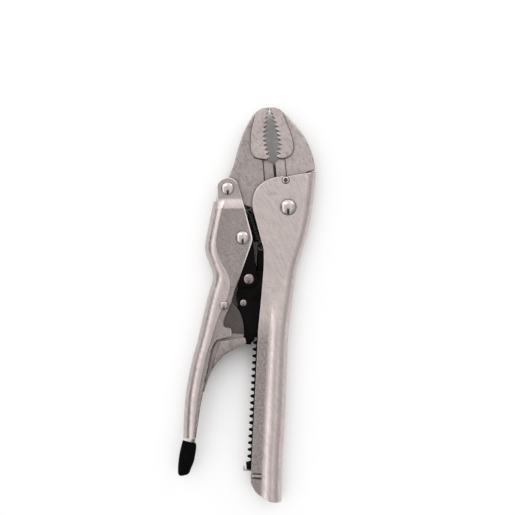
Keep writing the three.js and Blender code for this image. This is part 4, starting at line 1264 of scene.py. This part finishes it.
class PLIERS_OT_rivets(bpy.types.Operator):
    """Turns the rivets and the jaw pin"""

    bl_idname = "pliers.rivets"
    bl_label = "Rivets"

    def execute(self, context):
        rivet("jaw_rivet", "housing", (0, 0), 4.7, CHEEK_LEVEL + 0.1)
        rivet("handle_rivet", "handle", HANDLE_PIVOT, 3.9, EAR_LEVEL + 0.1)
        rivet("toggle_rivet", "handle", TOGGLE_PIVOT, 4.1, HANDLE_LEVEL - 0.3)
        rivet("link_rivet", "link", LINK_PIVOT, 3.2, level("front_link") + 0.1, "dull")
        rivet("lever_rivet", "handle", LEVER_PIVOT, 2.75, HANDLE_LEVEL - 0.3, "worn_rivet")
        rivet("pawl_rivet", "carriage", PAWL_PIVOT, 2.1, level("front_carriage_plate") + 0.1, "dull")
        end = level("roll_pin")
        pin = round_blank("roll_pin_turned", ROLL_PIN, PIN_RADIUS, -end + 0.3, end - 0.3, 48)
        for side in (-1, 1):
            end_in_rings(pin, side, PIN_RADIUS, [
                (2.08, end - 0.14), (1.8, end), (1.25, end), (1.05, end - 0.25), (1.0, end - 1.6),
            ])
        soften(pin, 30)
        finish_piece(pin, "housing", "polished", ("polished",), "roll_pin")
        return {"FINISHED"}


# ---------- mechanism ----------

def eased(node, body, width, slot="black_steel", finish="black", height=1):
    """A copy of a node, pressed towards the middle plane if its height is less than 1, with eased edges."""
    obj = copied(node, node + "_eased")
    if height != 1:
        edit(obj)
        bpy.ops.transform.resize(value=(1, 1, height), center_override=(0, 0, MIDDLE * MM))
        done()
    round_edges(obj, width)
    soften(obj, 35)
    finish_piece(obj, body, slot, (finish,), node)


class PLIERS_OT_mechanism(bpy.types.Operator):
    """Eases the edges of the rack, links, carriage, pawl, screw and clip"""

    bl_idname = "pliers.mechanism"
    bl_label = "Mechanism"

    def execute(self, context):
        for node, body, width in (
            ("rack", "housing", 0.25), ("front_link", "link", 0.3), ("rear_link", "link", 0.3),
            ("front_carriage_plate", "carriage", 0.3), ("rear_carriage_plate", "carriage", 0.3),
            ("carriage_block", "carriage", 0.25), ("locking_pawl", "pawl", 0.2),
            ("pressure_screw", "screw", 0.15), ("guide_pin", "carriage", 0.2),
        ):
            eased(node, body, width)
        eased("rack_clip", "housing", 0.25, "polished", "nickel")
        eased("rack_rivet", "housing", 0.2, "nickel", "nickel", 0.85)
        return {"FINISHED"}


TRIGGER_TOP = -84
TRIGGER_TILT = 0.1


class PLIERS_OT_release_lever(bpy.types.Operator):
    """Shapes the release lever and its dipped tip"""

    bl_idname = "pliers.release_lever"
    bl_label = "Release lever"

    def execute(self, context):
        lever = copied("release_lever", "release_lever_eased")
        round_edges(lever, 0.35, 3)
        edit(lever)
        bpy.ops.mesh.bisect(plane_co=(0, TRIGGER_TOP * MM, 0), plane_no=(TRIGGER_TILT, 1, 0))
        done()
        soften(lever, 35)
        finish_piece(lever, "lever", "lever_steel", ("lever", "trigger"), "release_lever")
        # Faces recessed in the handle take the lever finish, which is painted shade; the flange and the
        # trigger take the paler one.
        for face in lever.data.polygons:
            on_flange = abs(face.center.z / MM - MIDDLE) > 6.45
            below = face.center.y / MM + face.center.x / MM * TRIGGER_TILT < TRIGGER_TOP
            face.material_index = 1 if on_flange or below else 0
        low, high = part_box("lever_tip")
        top = high[1] / MM
        foot = low[1] / MM
        outline = smooth([
            (-67.3, top), (-63, top - 1.2), (-58.8, top - 2.5), (-59.8, top - 12), (-61.6, foot + 6),
            (-63.4, foot + 2), (-66.6, foot + 0.7), (-69.4, foot + 0.8), (-70.3, foot + 4), (-69.4, top - 9),
            (-67.3, top),
        ], 8)[:-1]
        tip = plate("dipped_tip", [outline], -5.6, 5.6, 2.6, 8)
        soften(tip, 60)
        finish_piece(tip, "lever", "vinyl", ("vinyl",), "lever_tip")
        return {"FINISHED"}


COIL = 2.9
WIRE = 0.45
JAW_SPRING_TURNS = 15


def hook(centre, start):
    """The hooked end of the jaw spring, from an angle in degrees."""
    angles = [math.radians(start + 190 * step / 16) for step in range(17)]
    return [Vector((centre + COIL * math.cos(angle), 0, COIL * math.sin(angle))) for angle in angles]


class PLIERS_OT_springs(bpy.types.Operator):
    """Winds the jaw spring and the lever's torsion spring"""

    bl_idname = "pliers.springs"
    bl_label = "Springs"

    def execute(self, context):
        top, foot = Vector((*SPRING_TAB, 0)), Vector((*by_rack(-15.9, 27), 0))
        run = foot - top
        first, last = COIL + 2.4, run.length - COIL - 2.4
        count = JAW_SPRING_TURNS * 20
        points = hook(COIL, 80)
        for step in range(1, count):
            share = step / count
            angle = share * 2 * math.pi * JAW_SPRING_TURNS - math.pi / 2
            points.append(Vector((mix(first, last, share), COIL * math.cos(angle), COIL * math.sin(angle))))
        points += hook(run.length - COIL, -90)
        turn = Matrix.Translation(top) @ Matrix.Rotation(math.atan2(run.y, run.x), 4, "Z")
        spring = wire("jaw_spring_wound", [turn @ point for point in points], WIRE)
        spring.data.materials.append(finish_of("spring"))
        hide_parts("jaw_spring")
        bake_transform(spring)

        def by_lever(across, along, height):
            """A place given from the lever's rivet."""
            return Vector((LEVER_PIVOT.x + across, LEVER_PIVOT.y + along, height))

        radius, half, leg = 3.1, 2.3, 9
        coils = [by_lever(-radius, leg, -half), by_lever(-radius, 0, -half)]
        for step in range(1, 96):
            share = step / 96
            angle = math.pi + share * 8 * math.pi
            across, along = radius * math.cos(angle), radius * math.sin(angle)
            coils.append(by_lever(across, along, mix(-half, half, share)))
        coils += [by_lever(-radius, 0, half), by_lever(-radius, -leg, half)]
        torsion = wire("lever_spring_wound", coils, WIRE)
        finish_piece(torsion, "handle", "spring_steel", ("spring",), "lever_spring")
        return {"FINISHED"}


# ---------- stage ----------

def softbox(name, place, target, size, energy):
    """A studio light that faces a target."""
    bpy.ops.object.light_add(type="AREA", location=place)
    lamp = bpy.context.object
    lamp.name = name
    lamp.data.shape = "RECTANGLE"
    lamp.data.size, lamp.data.size_y = size
    lamp.data.energy = energy
    lamp.rotation_euler = (Vector(target) - Vector(place)).to_track_quat("-Z", "Y").to_euler()
    return lamp


ROOM_LEVEL = 0.92
ROOM_WALLS = (
    ("X", -0.28, 0.02, 0.06, 0), ("X", -0.66, -0.42, 0.75, 0), ("X", -1, -0.76, -1.7, 0),
    ("X", 0.02, 0.3, 0, 0.14), ("X", 0.35, 0.95, 0, -0.45),
    ("Y", 0.05, 0.65, 0, 0.45), ("Y", -0.9, -0.1, -0.35, 0),
)


def studio_world():
    """A soft room: bright walls on the left and behind the jaws, and dimmer ones to the right and in front.

    Each wall adds to the room's level, from one brightness to another between two directions along an axis.
    A narrow dark gap in front is mirrored as the notch in each domed rivet.
    """
    world = bpy.data.worlds.new("studio")
    world.use_nodes = True
    tree = world.node_tree
    place = add_node(tree, "TexCoord", {})
    axes = add_node(tree, "SeparateXYZ", {"Vector": place.outputs["Generated"]}).outputs
    room = ROOM_LEVEL
    for axis, start, end, low, high in ROOM_WALLS:
        room = combined(tree, "ADD", room, ranged(tree, axes[axis], start, end, low, high, "SMOOTHSTEP"))
    off_middle = add_node(tree, "Math", {0: axes["X"]}, operation="ABSOLUTE").outputs["Value"]
    beside = ranged(tree, off_middle, 0.09, 0.22, 0.04, 1, "SMOOTHSTEP")
    behind = ranged(tree, axes["Y"], -0.34, -0.02, 0, 1, "SMOOTHSTEP")
    gap = combined(tree, "MAXIMUM", beside, behind)
    background = tree.nodes["Background"].inputs
    tree.links.new(combined(tree, "MULTIPLY", room, gap), background["Strength"])
    background["Color"].default_value = (1, 0.985, 0.98, 1)
    return world


LENS = 200
SENSOR_WIDTH = 36
VIEW_WIDTH = 0.3279


class PLIERS_OT_stage(bpy.types.Operator):
    """Sets the floor, the soft studio light and the camera"""

    bl_idname = "pliers.stage"
    bl_label = "Stage"

    def execute(self, context):
        scene = context.scene
        deselect()
        bpy.ops.mesh.primitive_plane_add(size=6, location=(0, 0, -0.2 * MM))
        floor = context.object
        floor.name = "floor"
        paper = Finish("white paper", (0.96, 0.96, 0.96), 0.0, 0.9)
        paper.bump(paper.noise(400, 3), 0.02, 0.3)
        paper.whiten(0.8, 45)
        floor.data.materials.append(paper.material)
        middle = (-0.0195, -0.0321, 0.01)
        softbox("key_softbox", (-0.5, 0.85, 1.2), middle, (0.5, 0.5), 1.9)
        softbox("jaw_softbox", (1.0, 1.15, 0.9), middle, (0.6, 0.6), 2.4)
        scene.world = studio_world()
        distance = VIEW_WIDTH / SENSOR_WIDTH * LENS
        bpy.ops.object.camera_add(location=(-0.01954, -0.03215, 0.016 + distance), rotation=(0, 0, 0))
        camera = context.object
        camera.name = "camera"
        camera.data.lens = LENS
        camera.data.sensor_width = SENSOR_WIDTH
        camera.data.clip_end = 20
        scene.camera = camera
        scene.view_settings.view_transform = "Standard"
        return {"FINISHED"}


# ---------- panel ----------

PIECES = (
    PLIERS_OT_fixed_handle, PLIERS_OT_moving_handle, PLIERS_OT_jaws, PLIERS_OT_rivets, PLIERS_OT_mechanism,
    PLIERS_OT_release_lever, PLIERS_OT_springs, PLIERS_OT_stage,
)


class PLIERS_PT_build(bpy.types.Panel):
    """Lists the settings and the pieces of the pliers"""

    bl_idname = "PLIERS_PT_build"
    bl_label = "Locking Pliers"
    bl_space_type = "VIEW_3D"
    bl_region_type = "UI"
    bl_category = "Pliers"

    def draw(self, context):
        layout = self.layout
        for name in ("pliers_sheet", "pliers_forging", "pliers_finish"):
            group = getattr(context.scene, name)
            box = layout.box()
            for field in group.bl_rna.properties:
                if field.identifier not in {"rna_type", "name"}:
                    box.prop(group, field.identifier)
        column = layout.column(align=True)
        for piece in PIECES:
            column.operator(piece.bl_idname)


CLASSES = (SheetSettings, ForgingSettings, FinishSettings, *PIECES, PLIERS_PT_build)


def register():
    for item in CLASSES:
        bpy.utils.register_class(item)
    bpy.types.Scene.pliers_sheet = PointerProperty(type=SheetSettings)
    bpy.types.Scene.pliers_forging = PointerProperty(type=ForgingSettings)
    bpy.types.Scene.pliers_finish = PointerProperty(type=FinishSettings)


def unregister():
    del bpy.types.Scene.pliers_finish
    del bpy.types.Scene.pliers_forging
    del bpy.types.Scene.pliers_sheet
    for item in reversed(CLASSES):
        bpy.utils.unregister_class(item)


def main():
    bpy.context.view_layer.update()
    register()
    bpy.ops.pliers.fixed_handle()
    bpy.ops.pliers.moving_handle()
    bpy.ops.pliers.jaws()
    bpy.ops.pliers.rivets()
    bpy.ops.pliers.mechanism()
    bpy.ops.pliers.release_lever()
    bpy.ops.pliers.springs()
    bpy.ops.pliers.stage()
    deselect()


if __name__ == "__main__":
    main()
